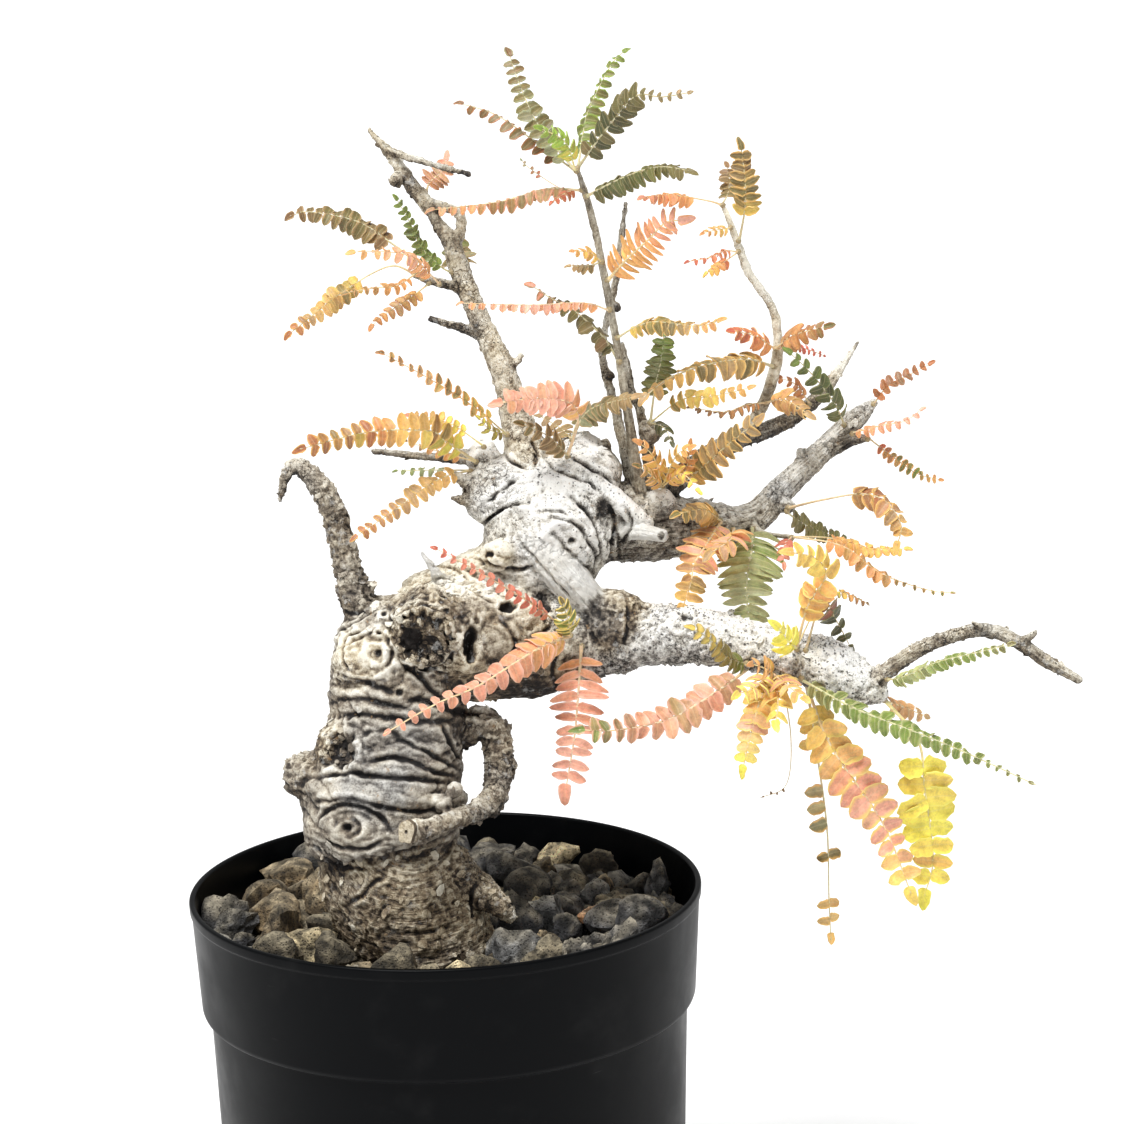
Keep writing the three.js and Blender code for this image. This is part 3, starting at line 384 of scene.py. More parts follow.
def meshArrays(mesh):
    points = np.empty(len(mesh.vertices) * 3)
    mesh.vertices.foreach_get("co", points)
    edges = np.empty(len(mesh.edges) * 2, np.int64)
    mesh.edges.foreach_get("vertices", edges)
    corners = np.empty(len(mesh.loops), np.int64)
    mesh.loops.foreach_get("vertex_index", corners)
    return points.reshape(-1, 3), edges.reshape(-1, 2), corners.reshape(-1, 4)


def around(values, edges, count):
    # the mean of each point's neighbours
    total = np.zeros_like(values)
    for k in range(values.shape[1]):
        total[:, k] = np.bincount(edges[:, 0], values[edges[:, 1], k], len(values))
        total[:, k] += np.bincount(edges[:, 1], values[edges[:, 0], k], len(values))
    return total / count[:, None]


def relaxed(values, edges, weight, rounds):
    count = np.bincount(edges.ravel(), minlength=len(values)).astype(float)
    weight = np.broadcast_to(weight, len(values))
    for _ in range(rounds):
        values = values + (around(values, edges, count) - values) * weight[:, None]
    return values


def pointNormals(points, quads):
    a, b, c, d = (points[quads[:, corner]] for corner in range(4))
    across = np.cross(c - a, d - b)
    normals = np.zeros_like(points)
    for k in range(3):
        for corner in range(4):
            normals[:, k] += np.bincount(quads[:, corner], across[:, k], len(points))
    return unit(normals)


def nearestLimb(points):
    # for each point: its limb, how thick that is there, and its place in the limb's own directions, in mm
    names, samples, frames, lengths = [], [], [], []
    for name, (bark, route) in woodLimbs.items():
        line = limbLine(route, woodMake["lineStep"])
        samples.append(line)
        frames.append(np.stack(lineFrames(line), axis=1))
        steps = np.linalg.norm(np.diff(line[:, :3], axis=0), axis=1)
        # each limb's grain starts at a length of its own
        lengths.append(np.concatenate([[0], np.cumsum(steps)]) + 0.37 * len(names))
        names += [name] * len(line)
    samples, frames, lengths = np.vstack(samples), np.vstack(frames), np.concatenate(lengths)
    nearest, batch = np.zeros(len(points), int), 20000
    for start in range(0, len(points), batch):
        some = points[start : start + batch]
        square = (some**2).sum(1)[:, None] + (samples[:, :3] ** 2).sum(1) - 2 * some @ samples[:, :3].T
        ahead = some @ frames[:, 0].T - (samples[:, :3] * frames[:, 0]).sum(1)
        aside = np.sqrt(np.maximum(square - ahead**2, 0)) - samples[:, 3]
        nearest[start : start + batch] = (aside**2 + ahead**2).argmin(1)
    offset = points - samples[nearest, :3]
    own = np.einsum("nij,nj->ni", frames[nearest], offset)
    own[:, 0] += lengths[nearest]
    return np.array(names)[nearest], samples[nearest, 3], own / mm


joined = joinWood()
woodPoints, woodEdges, woodQuads = meshArrays(joined)
print("wood joined:", len(woodQuads), "faces")

# Wood: bark
# Marks on the wood, placed in the front view. Lines, places and reaches are in view units, the rest in mm.
# A swell: x, y, its reach across and down, and its height
woodSwells = [
    [372, 790, 74, 15, 1.5], [350, 829, 44, 17, 1.1], [425, 838, 44, 14, 0.8], [370, 655, 34, 30, 1.4],
    [372, 655, 12, 10, 0.9], [352, 695, 40, 9, 0.7], [366, 711, 46, 7, 0.6], [405, 728, 50, 9, 0.9],
    [426, 748, 40, 8, 0.7], [400, 768, 48, 9, 1.0], [425, 630, 33, 30, 2.6], [500, 640, 26, 20, 1.4],
    [535, 650, 22, 20, 1.5], [528, 612, 18, 16, 1.3], [545, 676, 26, 18, 1.2], [508, 680, 26, 16, 1.0],
    [470, 692, 30, 12, 0.8], [480, 610, 16, 14, 1.0], [456, 606, 14, 12, 1.0], [575, 528, 26, 22, 1.2],
    [520, 505, 18, 14, 0.9], [500, 470, 20, 12, 0.8], [556, 480, 22, 14, 0.9], [610, 470, 16, 12, 0.8],
    [604, 545, 16, 20, 0.8], [455, 745, 12, 24, -0.7], [340, 750, 15, 17, -1.2], [426, 642, 15, 17, -2.4],
    [472, 645, 7, 20, -3.2],
]
# A crease: its width, its depth, the height of its lips, and its line; a ridge has a depth below zero
woodCreases = [
    [0.6, 1.1, 0.4, [[314, 845], [330, 860], [345, 866], [372, 871]]],
    [0.8, -0.8, -0.3, [[336, 846], [352, 853], [372, 866], [390, 860], [413, 852], [452, 836]]],
    [0.6, 1.1, 0.4, [[390, 736], [410, 744], [430, 754], [456, 768], [470, 777]]],
    [0.7, 1.5, 0.4, [[440, 724], [448, 738], [456, 752], [468, 772]]],
    [0.7, 1.3, 0.4, [[362, 765], [384, 758], [404, 759], [430, 770], [464, 780]]],
    [0.9, 1.7, 0.5, [[404, 700], [424, 700], [446, 708], [466, 713], [497, 714]]],
    [0.7, 0.9, 0.4, [[329, 686], [350, 682], [375, 686], [398, 695]]],
    [0.7, 0.8, 0.4, [[328, 702], [352, 698], [380, 702], [410, 710]]],
    [0.8, 1.1, 0.4, [[334, 718], [362, 714], [390, 718], [420, 722], [446, 720]]],
    [0.6, 0.7, 0.3, [[360, 734], [384, 731], [404, 737]]],
    [0.7, 1.2, 0.5, [[308, 780], [330, 776], [352, 774], [380, 777], [420, 780], [460, 784]]],
    [0.6, 0.9, 0.4, [[306, 803], [330, 800], [356, 799], [390, 808], [426, 812], [440, 806]]],
    [0.6, 1.3, 0.5, [[318, 826], [326, 812], [344, 804], [366, 807], [382, 818], [392, 832]]],
    [0.6, 1.2, 0.5, [[322, 834], [334, 844], [352, 849], [372, 846], [388, 838]]],
    [0.5, 0.8, 0.3, [[330, 655], [344, 648], [360, 640], [381, 625]]],
    [0.5, 0.6, 0.3, [[334, 636], [352, 626], [370, 612]]],
    [0.5, 0.7, 0.3, [[332, 670], [346, 676], [366, 682], [392, 680]]],
    [0.7, 1.3, 0.4, [[396, 646], [404, 664], [418, 676], [432, 690], [446, 706]]],
    [0.5, 0.8, 0.3, [[406, 660], [424, 668], [447, 672]]],
    [0.5, 0.7, 0.2, [[463, 599], [470, 591], [477, 584]]],
    [0.5, 0.8, 0.3, [[480, 531], [487, 520], [508, 507]]],
    [0.4, 0.7, 0.3, [[539, 472], [541, 482], [544, 493]]],
    [0.5, 0.8, 0.3, [[539, 512], [552, 511], [564, 514], [579, 528]]],
    [0.8, 1.6, 0.4, [[567, 495], [578, 503], [588, 513], [596, 531], [600, 552], [592, 573]]],
    [0.5, 0.8, 0.3, [[617, 529], [619, 545], [618, 564]]],
    [0.6, 0.9, 0.4, [[625, 600], [628, 612], [628, 626], [623, 646]]],
    [0.6, 1.2, 0.2, [[519, 539], [534, 558], [556, 584], [577, 606]]],
    [0.6, 1.1, 0.2, [[548, 528], [570, 552], [592, 572], [607, 592]]],
    [0.6, 0.9, 0.5, [[387, 876], [372, 884], [362, 896], [345, 906]]],
    [0.7, 0.9, 0.3, [[478, 882], [470, 900], [474, 922]]],
    [0.5, 0.7, 0.2, [[520, 600], [500, 583], [478, 572], [452, 566]]],
    [0.5, 0.6, 0.3, [[484, 470], [492, 474], [503, 470]]],
    [0.6, 1.2, 0.4, [[549, 516], [571, 523], [587, 540], [595, 556], [594, 575]]],
    [0.6, 1.4, 0.4, [[609, 503], [615, 525], [610, 547], [613, 566]]],
    [0.6, 1.2, 0.4, [[624, 505], [631, 522], [624, 541], [613, 552]]],
    [0.5, 1.1, 0.4, [[481, 528], [496, 512], [515, 506], [531, 503]]],
    [0.5, 1.0, 0.4, [[484, 505], [502, 491], [518, 478]]],
    [0.6, 1.2, 0.3, [[471, 556], [496, 566], [521, 569], [540, 562]]],
    [0.6, 1.3, 0.5, [[543, 456], [559, 472], [587, 481], [602, 494]]],
    [0.8, 1.6, 0.6, [[562, 450], [581, 462], [602, 475], [616, 486]]],
    [0.6, 1.3, 0.4, [[500, 448], [512, 462], [528, 470]]],
    [0.6, 1.2, 0.4, [[530, 438], [536, 452], [534, 470]]],
    [0.6, 1.2, 0.4, [[486, 590], [505, 590], [530, 604], [545, 622]]],
    [0.5, 0.8, 0.3, [[470, 572], [486, 580], [500, 592]]],
    [0.7, 1.3, 0.4, [[556, 610], [548, 628], [530, 640], [516, 660]]],
    [0.6, 1.2, 0.5, [[500, 620], [512, 634], [514, 652], [504, 672]]],
    [0.7, 1.2, 0.4, [[560, 650], [552, 668], [556, 688]]],
    [0.5, 0.9, 0.3, [[340, 606], [352, 614], [366, 612]]],
    [0.5, 1.1, 0.4, [[352, 674], [343, 656], [350, 638], [368, 629]]],
    [0.5, 0.9, 0.4, [[341, 680], [333, 656], [342, 632], [362, 620]]],
    [0.5, 1.0, 0.4, [[386, 672], [392, 655], [386, 638], [374, 632]]],
    [0.6, 1.2, 0.4, [[392, 622], [404, 612], [424, 607], [444, 612]]],
    [0.7, 1.5, 0.4, [[396, 660], [392, 640], [394, 622]]],
    [0.6, 1.2, 0.4, [[404, 664], [424, 668], [446, 662], [458, 646]]],
    [0.5, 0.8, 0.3, [[404, 576], [430, 566], [456, 570], [470, 582]]],
    [0.5, 0.8, 0.3, [[420, 586], [444, 578], [470, 590], [496, 604]]],
    [0.5, 0.8, 0.3, [[336, 622], [350, 634], [362, 634]]],
    [0.5, 0.6, 0.3, [[690, 500], [686, 516], [692, 532]]],
]
# A ring: x, y, its reach across and down, the height of its rim, the share of its reach and the depth of the
# hollow inside it, what rim and hollow add to the bark's tone, its rays, and how bent it is
woodRings = [
    [348, 827, 7, 6, 0.8, 0.6, 1.5, 0.14, -0.5, 0, 0.12],
    [350, 827, 17, 13, 1.0, 0.75, 0.5, 0.14, -0.06, 0, 0.12],
    [353, 827, 29, 21, 0.7, 0.8, 0.2, 0.1, -0.02, 0, 0.12],
    [355, 828, 42, 29, 0.5, 0.85, 0.1, 0.08, 0, 0, 0.12],
    [341, 750, 20, 23, 1.3, 0.8, 1.6, 0.1, -0.16, 1.2, 0.24],
    [351, 749, 5, 6, 0.5, 0.3, 0.5, 0.45, -0.1, 0, 0.24],
    [370, 655, 30, 24, 1.3, 0.85, 0.7, 0.16, 0, 0.2, 0.16],
    [374, 655, 12, 10, 1.1, 0.55, 0.9, 0.4, -0.1, 0, 0.14],
    [379, 653, 4, 4, 0.1, 0.9, 0.8, 0, -0.5, 0, 0.24], [384, 614, 5, 4, 0.5, 0.6, 0.6, 0.1, -0.4, 0, 0.24],
    [380, 634, 4, 4, 0.4, 0.6, 0.5, 0.05, -0.3, 0, 0.24],
    [399, 692, 5, 5, 0.4, 0.7, 1.0, 0.1, -0.5, 0, 0.24],
    [339, 679, 5, 4, 0.4, 0.6, 0.6, 0.2, -0.5, 0, 0.24],
    [425, 636, 30, 28, 2.6, 0.8, 2.0, 0.3, -0.2, 1.3, 0.24],
    [412, 640, 9, 14, 0.2, 0.9, 1.8, 0, -0.45, 0.6, 0.24],
    [418, 618, 12, 6, 0.2, 0.8, 1.0, 0, -0.35, 0.3, 0.24],
    [434, 640, 9, 11, 0.3, 0.3, 0.3, 0.1, 0.1, 0.9, 0.24],
    [471, 646, 8, 21, 0.4, 0.95, 2.6, 0.02, -0.7, 0.5, 0.24],
    [476, 622, 5, 6, 0.9, 0.2, 0.1, 0.4, 0.3, 0, 0.24],
    [570, 540, 24, 20, 0.8, 0.8, 0.4, 0.08, -0.05, 0.2, 0.24],
    [570, 540, 8, 6, 0.4, 0.6, 0.7, 0.05, -0.35, 0, 0.24],
    [572, 580, 8, 6, 0.4, 0.5, 0.4, 0.02, -0.2, 0, 0.24],
    [507, 606, 10, 7, 0.3, 0.8, 2.0, 0, -0.6, 0, 0.24],
    [490, 555, 8, 6, 0.6, 0.5, 0.8, 0.05, -0.35, 0, 0.24],
    [686, 617, 9, 7, 0.5, 0.6, 0.9, -0.15, -0.4, 0, 0.24],
    [457, 745, 4, 4, 0.3, 0.5, 0.5, 0.05, -0.2, 0, 0.24],
]
# A patch: x, y, reach, the tone and warmth there, and how strongly they hold. The dark patches at 336, 862
# and at 520, 680 and 530, 690 are painted shade: a shadow under the bole's ledge, and shade on the underside
# of the right-hand mass
woodPatches = [
    [530, 690, 34, 0.2, 0.8, 0.8], [600, 620, 26, 0.3, 0.3, 0.7], [556, 566, 26, 1.25, 0.3, 0.8],
    [540, 604, 12, 0.2, 0.3, 0.8], [512, 918, 12, 0.6, 0.7, 0.8], [455, 486, 15, 0.25, 0.5, 0.8],
    [606, 506, 12, 0.2, 0.3, 0.8], [450, 588, 22, 0.8, 0.6, 0.8], [500, 580, 24, 0.85, 0.4, 0.8],
    [662, 502, 9, 0.9, 0.1, 0.9], [584, 430, 10, 0.35, 0.6, 0.7], [407, 832, 13, 0.62, 0.9, 0.95],
    [345, 752, 16, 0.2, 0.6, 0.7], [455, 702, 28, 0.22, 0.7, 0.7], [372, 657, 11, 0.8, 0.3, 0.6],
    [700, 602, 12, 0.5, 0.9, 0.5], [640, 606, 14, 0.45, 0.9, 0.5], [845, 665, 32, 0.85, 0.05, 0.7],
    [790, 640, 20, 0.8, 0.1, 0.5], [380, 140, 18, 0.36, 0.9, 0.9], [440, 230, 34, 0.36, 0.8, 0.8],
    [408, 184, 22, 0.3, 0.8, 0.8], [478, 318, 20, 0.4, 0.6, 0.6], [465, 174, 8, 0.06, 0.3, 0.9],
    [433, 320, 8, 0.06, 0.3, 0.9], [460, 330, 12, 0.25, 0.4, 0.8], [848, 358, 22, 0.78, 0.6, 0.9],
    [810, 405, 10, 0.25, 0.4, 0.8], [770, 428, 14, 0.36, 0.3, 0.6], [828, 428, 26, 0.78, 0.6, 0.7],
    [850, 440, 12, 0.18, 0.5, 0.8], [780, 490, 16, 0.6, 0.1, 0.7], [788, 508, 8, 0.25, 0.6, 0.8],
    [765, 400, 26, 0.34, 0.8, 0.8], [748, 262, 56, 0.84, 0.8, 0.8], [617, 307, 6, 0.08, 0.4, 0.9],
    [610, 375, 6, 0.08, 0.4, 0.9], [560, 470, 22, 0.85, 0.1, 0.5], [520, 500, 22, 0.82, 0.15, 0.5],
    [620, 500, 18, 0.8, 0.1, 0.5], [661, 536, 5, 0.08, 0.4, 0.9], [355, 665, 34, 0.68, 0.9, 0.7],
    [400, 745, 50, 0.4, 0.2, 0.7], [372, 791, 40, 0.37, 0, 0.85], [340, 830, 26, 0.42, 0.6, 0.6],
    [425, 832, 22, 0.42, 0.7, 0.6], [430, 640, 30, 0.38, 0.9, 0.7], [500, 640, 34, 0.42, 0.8, 0.7],
    [604, 448, 6, 0.06, 0.4, 0.9], [485, 455, 8, 0.5, 0.5, 0.7], [360, 600, 22, 0.3, 0.4, 0.7],
    [336, 862, 18, 0.05, 0.9, 0.85], [400, 700, 34, 0.36, 0.35, 0.5], [455, 712, 30, 0.2, 0.7, 0.7],
    [520, 680, 40, 0.2, 0.8, 0.7], [480, 470, 26, 0.48, 0.3, 0.7], [655, 515, 20, 0.42, 0.3, 0.7],
    [590, 465, 24, 0.5, 0.3, 0.6], [470, 615, 20, 0.3, 0.5, 0.6],
]

# Where the bark is smoother than its limb's: x, y, reach, and how strongly
woodCalm = [
    [350, 828, 44, 0.7], [370, 655, 36, 0.55], [385, 790, 60, 0.55], [410, 745, 52, 0.4],
    [540, 480, 40, 0.35],
]

barkMake = {
    "blurRounds": 45,  # how softly one limb's bark passes into the next
    "lumps": [[13, 0.9], [6, 0.5], [3.0, 0.22]],  # size and height in mm
    "folds": [[10, 0.65], [5, 0.24]],
    "scales": [[6, 1.0], [3, 0.65]],
    "striae": [[2.8, 0.4], [1.5, 0.3]],
    "grain": [[0.9, 0.32], [2.0, 0.6]],
    "fine": [[1.5, 0.16]],
    "lightFromAbove": 0.22,
    "contrast": 1.2,  # about the middle tone
    "midTone": 0.45,
    # the hollows below set where the painted shade in the wood's hollows reaches and how strong it is
    "hollows": [[2, 0.05, 0.4], [10, 0.22, 0.5], [80, 0.8, 0.6]],  # smoothing rounds, depth in mm and weight
    "viewUnit": 0.287,  # mm that a unit of the front view spans at the trunk
    "arcs": [402, 840, -80],  # the foot's grain runs in arcs below this point
    "arcReach": 22,  # mm from that point, where an arc is as long as the grain along a limb
}

woodNames, woodRadius, woodOwn = nearestLimb(woodPoints)
thick = smoothStep(woodMake["relaxFrom"], woodMake["relaxTo"], woodRadius)
arcs = np.isin(woodNames, ["foot", "rootFlare"])
arcOffset = (woodPoints[arcs] - sight(*barkMake["arcs"])[0]) / mm
arcRight, arcBelow = arcOffset @ viewRight, -arcOffset @ viewUp
arcTurn = np.arctan2(arcBelow, arcRight) * barkMake["arcReach"]
woodOwn[arcs] = np.column_stack([arcTurn, np.hypot(arcRight, arcBelow), 0.15 * arcOffset @ viewForward])
woodPoints = relaxed(woodPoints, woodEdges, 0.12 + 0.4 * thick, 3)
woodPoints = relaxed(woodPoints, woodEdges, 0.5 * thick, woodMake["relaxRounds"])
woodNormals = pointNormals(woodPoints, woodQuads)


def barkFields():
    # each bark's own numbers over the wood, softened where one passes into another
    fields = np.zeros((len(woodPoints), len(barkWords)))
    for name, (bark, route) in woodLimbs.items():
        fields[woodNames == name] = barks[bark]
    for x, y, depth, radius, bark in woodBurls:
        centre, scale = sight(x, y, depth)
        near = np.linalg.norm(woodPoints - centre, axis=1) < radius * float(scale) * 1.03
        fields[near] = barks[bark]
    return dict(zip(barkWords, relaxed(fields, woodEdges, 0.5, barkMake["blurRounds"]).T))


def barkRelief(fields):
    # heights in mm
    p = woodPoints / mm
    bent = p + 2.5 * shake(p, 15, 1)
    curled = bent + 0.9 * shake(p, 4, 21)
    height = np.zeros(len(p))
    thin = 0.25 + 0.75 * smoothStep(1.0, 8.0, woodRadius / mm)
    for i, (size, tall) in enumerate(barkMake["lumps"]):
        height += fields["lumps"] * tall * thin * softNoise(bent, size, 5 + i)
    for i, (size, tall) in enumerate(barkMake["folds"]):
        wave = np.abs(softNoise(curled * np.array([0.6, 0.6, 1.7]), size, 15 + i))
        bulge, nick = np.minimum(1, wave / 0.3) ** 0.7, 1 - np.minimum(1, wave / 0.05)
        height += fields["folds"] * tall * thin * (bulge - 0.6 - nick * 0.5)
    patchy = 0.35 + 0.65 * smoothStep(-0.35, 0.25, softNoise(bent, 9, 27))
    for i, (size, tall) in enumerate(barkMake["scales"]):
        height += fields["scales"] * tall * (0.4 + 0.6 * thin) * patchy * ridgeNoise(curled, size, 25 + i)
    slope = curled @ np.array([[0.22, 0, 0.3], [0, 0.22, 0.1], [0, 0, 1.1]])
    for i, (size, tall) in enumerate(barkMake["striae"]):
        wave = np.minimum(1, np.abs(softNoise(slope, size, 31 + i)) * 3)
        height += fields["striae"] * tall * thin * (1 - wave - 0.3)
    stretched = woodOwn * np.array([0.07, 1, 1])
    for i, (size, tall) in enumerate(barkMake["grain"]):
        wave = softNoise(stretched, size, 35 + i)
        line = wave if i == 0 else -((1 - np.minimum(1, np.abs(wave) / 0.12)) ** 2)
        height += fields["grain"] * tall * (0.35 + 0.65 * thin) * line
    for size, tall in barkMake["fine"]:
        height += tall * softNoise(p, size, 45)
    return height


def viewHit(tree, x, y):
    place, normal, face, far = tree.ray_cast(Vector(viewEye), Vector(unit(lookRay(x, y))))
    return (None, None) if place is None else (np.array(place), np.array(normal))


def woodSearch():
    return BVHTree.FromPolygons([tuple(p) for p in woodPoints], [tuple(q) for q in woodQuads])


def nearPoints(centre, reach):
    return np.flatnonzero((np.abs(woodPoints - centre) < reach).all(axis=1))


def viewOffset(near, centre):
    # how far points lie across, below and behind a place, as the front view shows them, in mm
    offset = (woodPoints[near] - centre) / mm
    return offset @ viewRight, -offset @ viewUp, offset @ viewForward


def markWood(fields):
    # makes the swells, creases, rings and patches; gives each point's push in mm, the painted shade in its
    # creases and knot holes, and how calm its bark is
    tree, unitMm = woodSearch(), barkMake["viewUnit"]
    push, dark, calm = np.zeros_like(woodPoints), np.zeros(len(woodPoints)), np.zeros(len(woodPoints))
    tones, warmths = fields["tone"], fields["warmth"]
    for x, y, across, down, tall in woodSwells:
        centre, normal = viewHit(tree, x, y)
        near = nearPoints(centre, (max(across, down) * unitMm * 1.3 + 2) * mm)
        right, below, behind = viewOffset(near, centre)
        far = np.hypot(right / across, below / down) / unitMm
        far = far * (1 + 0.25 * softNoise(woodPoints[near] / mm, 7, 53))
        dome = np.clip(1 - far**2, 0, 1) ** 1.3 * (behind < 16)
        push[near] += woodNormals[near] * (tall * dome)[:, None]
    for width, depth, lip, corners in woodCreases:
        route = smoothLine([[x, y, 0] for x, y in corners], 1.5)[:, :2]
        hits = [viewHit(tree, x, y)[0] for x, y in route]
        line = np.array([hit for hit in hits if hit is not None])
        line = line[np.abs(line[:, 1] - np.median(line[:, 1])) < 14 * mm]
        inside = (woodPoints > line.min(0) - 4 * mm) & (woodPoints < line.max(0) + 4 * mm)
        near = np.flatnonzero(inside.all(axis=1))
        p = woodPoints[near] / mm
        bent = p + 0.45 * shake(p, 2.6, 54)
        apart = np.linalg.norm(bent[:, None] - line / mm, axis=2)
        share = apart.argmin(1) / max(len(line) - 1, 1)
        far = apart.min(1)
        fade = np.clip(np.sin(math.pi * np.clip(share, 0.03, 0.97)) * 2, 0, 1)
        fade = fade * (0.85 + 0.5 * softNoise(p, 5, 57))
        groove = np.exp(-((far / width) ** 2)) * fade
        lips = np.exp(-(((far - 2.2 * width) / (1.1 * width)) ** 2)) * fade
        push[near] += woodNormals[near] * (lip * lips - depth * groove)[:, None]
        # painted shade: darker along each crease, the more the deeper it is
        dark[near] += np.exp(-((far / (0.7 * width)) ** 2)) * fade * min(1, max(0, depth) / 1.4)
    for x, y, across, down, tall, inner, depth, rimTone, holeTone, rayed, bent in woodRings:
        centre, normal = viewHit(tree, x, y)
        size = max(across, down) * unitMm
        near = nearPoints(centre, (size * 2 + 1.5) * mm)
        right, below, behind = viewOffset(near, centre)
        p = woodPoints[near] / mm
        bend = bent * (softNoise(p, max(2, size), 51) + softNoise(p, 1.6, 52))
        far = np.hypot(right / across, below / down) / unitMm + bend
        low = (np.abs(behind) < size + 3) * 1.0
        uneven = 0.75 + 0.8 * softNoise(p, max(1.5, size * 0.8), 58)
        rim = np.exp(-(((far - 1) / (0.22 + 0.3 / size)) ** 2)) * low * uneven
        hole = (1 - smoothStep(0.5 * inner, 1.1 * inner, far)) * low
        angle = np.arctan2(below, right)
        spokes = np.column_stack([np.cos(angle) * 5, np.sin(angle) * 5, far * 0.8])
        rays = rayed * softNoise(spokes, 1.6, 59) * np.exp(-(((far - 0.8) / 0.5) ** 2)) * low
        push[near] += (rim * tall - hole * depth + 0.9 * rays)[:, None] * normal
        tones[near] += 0.22 * rays
        tones[near] += rim * rimTone + hole * holeTone
        # painted shade: darker inside each knot's sunk hole
        dark[near] += hole * max(0, -holeTone) * 0.7
    for x, y, reach, tone, warmth, hold in woodPatches:
        centre, normal = viewHit(tree, x, y)
        if centre is None:
            continue
        size = reach * unitMm
        near = nearPoints(centre, (size * 1.6 + 1) * mm)
        p = woodPoints[near] / mm
        far = np.linalg.norm(p - centre / mm, axis=1) / size + 0.3 * softNoise(p, 0.5 * size + 1, 61)
        share = (1 - smoothStep(0.55, 1.15, far + 0.15 * softNoise(p, 2, 62))) * hold
        tones[near] += (tone - tones[near]) * share
        warmths[near] += (warmth - warmths[near]) * share
    for x, y, reach, hold in woodCalm:
        centre, normal = viewHit(tree, x, y)
        far = np.linalg.norm(woodPoints - centre, axis=1) / (reach * unitMm * mm)
        calm = np.maximum(calm, hold * (1 - smoothStep(0.5, 1.15, far)))
    return push, dark, calm


barkLook = barkFields()
push, recessShade, calm = markWood(barkLook)
push += woodNormals * (barkRelief(barkLook) * (1 - calm))[:, None]
barkLook["tone"] += barkMake["lightFromAbove"] * woodNormals[:, 2]
barkLook["tone"] = barkMake["midTone"] + (barkLook["tone"] - barkMake["midTone"]) * barkMake["contrast"]
woodPoints = woodPoints + push * mm
woodNormals = pointNormals(woodPoints, woodQuads)


def hollows():
    # how far the wood lies below its surroundings, in small, middle and broad hollows; the bark is darkened
    # there as painted shade
    total, smooth, done = np.zeros(len(woodPoints)), woodPoints, 0
    for rounds, depth, share in barkMake["hollows"]:
        smooth = relaxed(smooth, woodEdges, 0.5, rounds - done)
        done = rounds
        low = np.einsum("ij,ij->i", smooth - woodPoints, woodNormals) / mm / depth
        total += share * np.where(low > 0, np.tanh(low), 0.4 * np.tanh(low))
    return total


# painted shade: the darkness of the hollows and of the creases and knot holes, softened
hollow = relaxed(np.column_stack([hollows(), recessShade]), woodEdges, 0.5, 1)
woodTree = woodSearch()
print("bark shaped:", len(woodPoints), "points")


# Materials
def addNode(tree, kind, inputs=(), **settings):
    node = tree.nodes.new(kind)
    for key, value in settings.items():
        setattr(node, key, value)
    for key, value in dict(inputs).items():
        socket = node.inputs[key]
        if isinstance(value, bpy.types.NodeSocket):
            tree.links.new(value, socket)
        else:
            socket.default_value = value
    return node


def sums(tree, operation, a, b=0.0, c=0.0, clamp=False):
    node = addNode(tree, "ShaderNodeMath", {0: a, 1: b, 2: c}, operation=operation, use_clamp=clamp)
    return node.outputs[0]


def times(tree, a, b):
    return sums(tree, "MULTIPLY", a, b)


def timesPlus(tree, a, b, c, clamp=False):
    return sums(tree, "MULTIPLY_ADD", a, b, c, clamp)


def vectors(tree, operation, a, b):
    return addNode(tree, "ShaderNodeVectorMath", {0: a, 1: b}, operation=operation).outputs[0]


def brightened(tree, colour, value):
    inputs = {"Hue": 0.5, "Saturation": 1.0, "Value": value, "Fac": 1.0, "Color": colour}
    return addNode(tree, "ShaderNodeHueSaturation", inputs).outputs[0]


def blendColours(tree, share, a, b, mode="MIX"):
    node = addNode(tree, "ShaderNodeMix", data_type="RGBA", blend_type=mode, clamp_factor=True)
    for index, value in ((0, share), (6, a), (7, b)):
        if isinstance(value, bpy.types.NodeSocket):
            tree.links.new(value, node.inputs[index])
        else:
            node.inputs[index].default_value = value
    return node.outputs[2]


def stepBetween(tree, value, low, high, toLow=0.0, toHigh=1.0):
    inputs = {"Value": value, "From Min": low, "From Max": high, "To Min": toLow, "To Max": toHigh}
    node = addNode(tree, "ShaderNodeMapRange", inputs, interpolation_type="SMOOTHSTEP", clamp=True)
    return node.outputs["Result"]


def noiseOf(tree, place, scale, detail=3.0, rough=0.55, output="Fac"):
    inputs = {"Vector": place, "Scale": scale, "Detail": detail, "Roughness": rough}
    return addNode(tree, "ShaderNodeTexNoise", inputs).outputs[output]


def rampOf(tree, share, stops):
    node = addNode(tree, "ShaderNodeValToRGB", {"Fac": share})
    for i, (place, colour) in enumerate(stops):
        stop = node.color_ramp.elements[i] if i < 2 else node.color_ramp.elements.new(place)
        stop.position, stop.color = place, (*colour, 1)
    return node.outputs["Color"]


def newGroup(name, inputs, outputs):
    group = bpy.data.node_groups.new(name, "ShaderNodeTree")
    kinds = {"number": "NodeSocketFloat", "colour": "NodeSocketColor", "place": "NodeSocketVector"}
    for label, kind in inputs.items():
        group.interface.new_socket(label, in_out="INPUT", socket_type=kinds[kind])
    for label, kind in outputs.items():
        group.interface.new_socket(label, in_out="OUTPUT", socket_type=kinds[kind])
    return group, addNode(group, "NodeGroupInput").outputs, addNode(group, "NodeGroupOutput").inputs


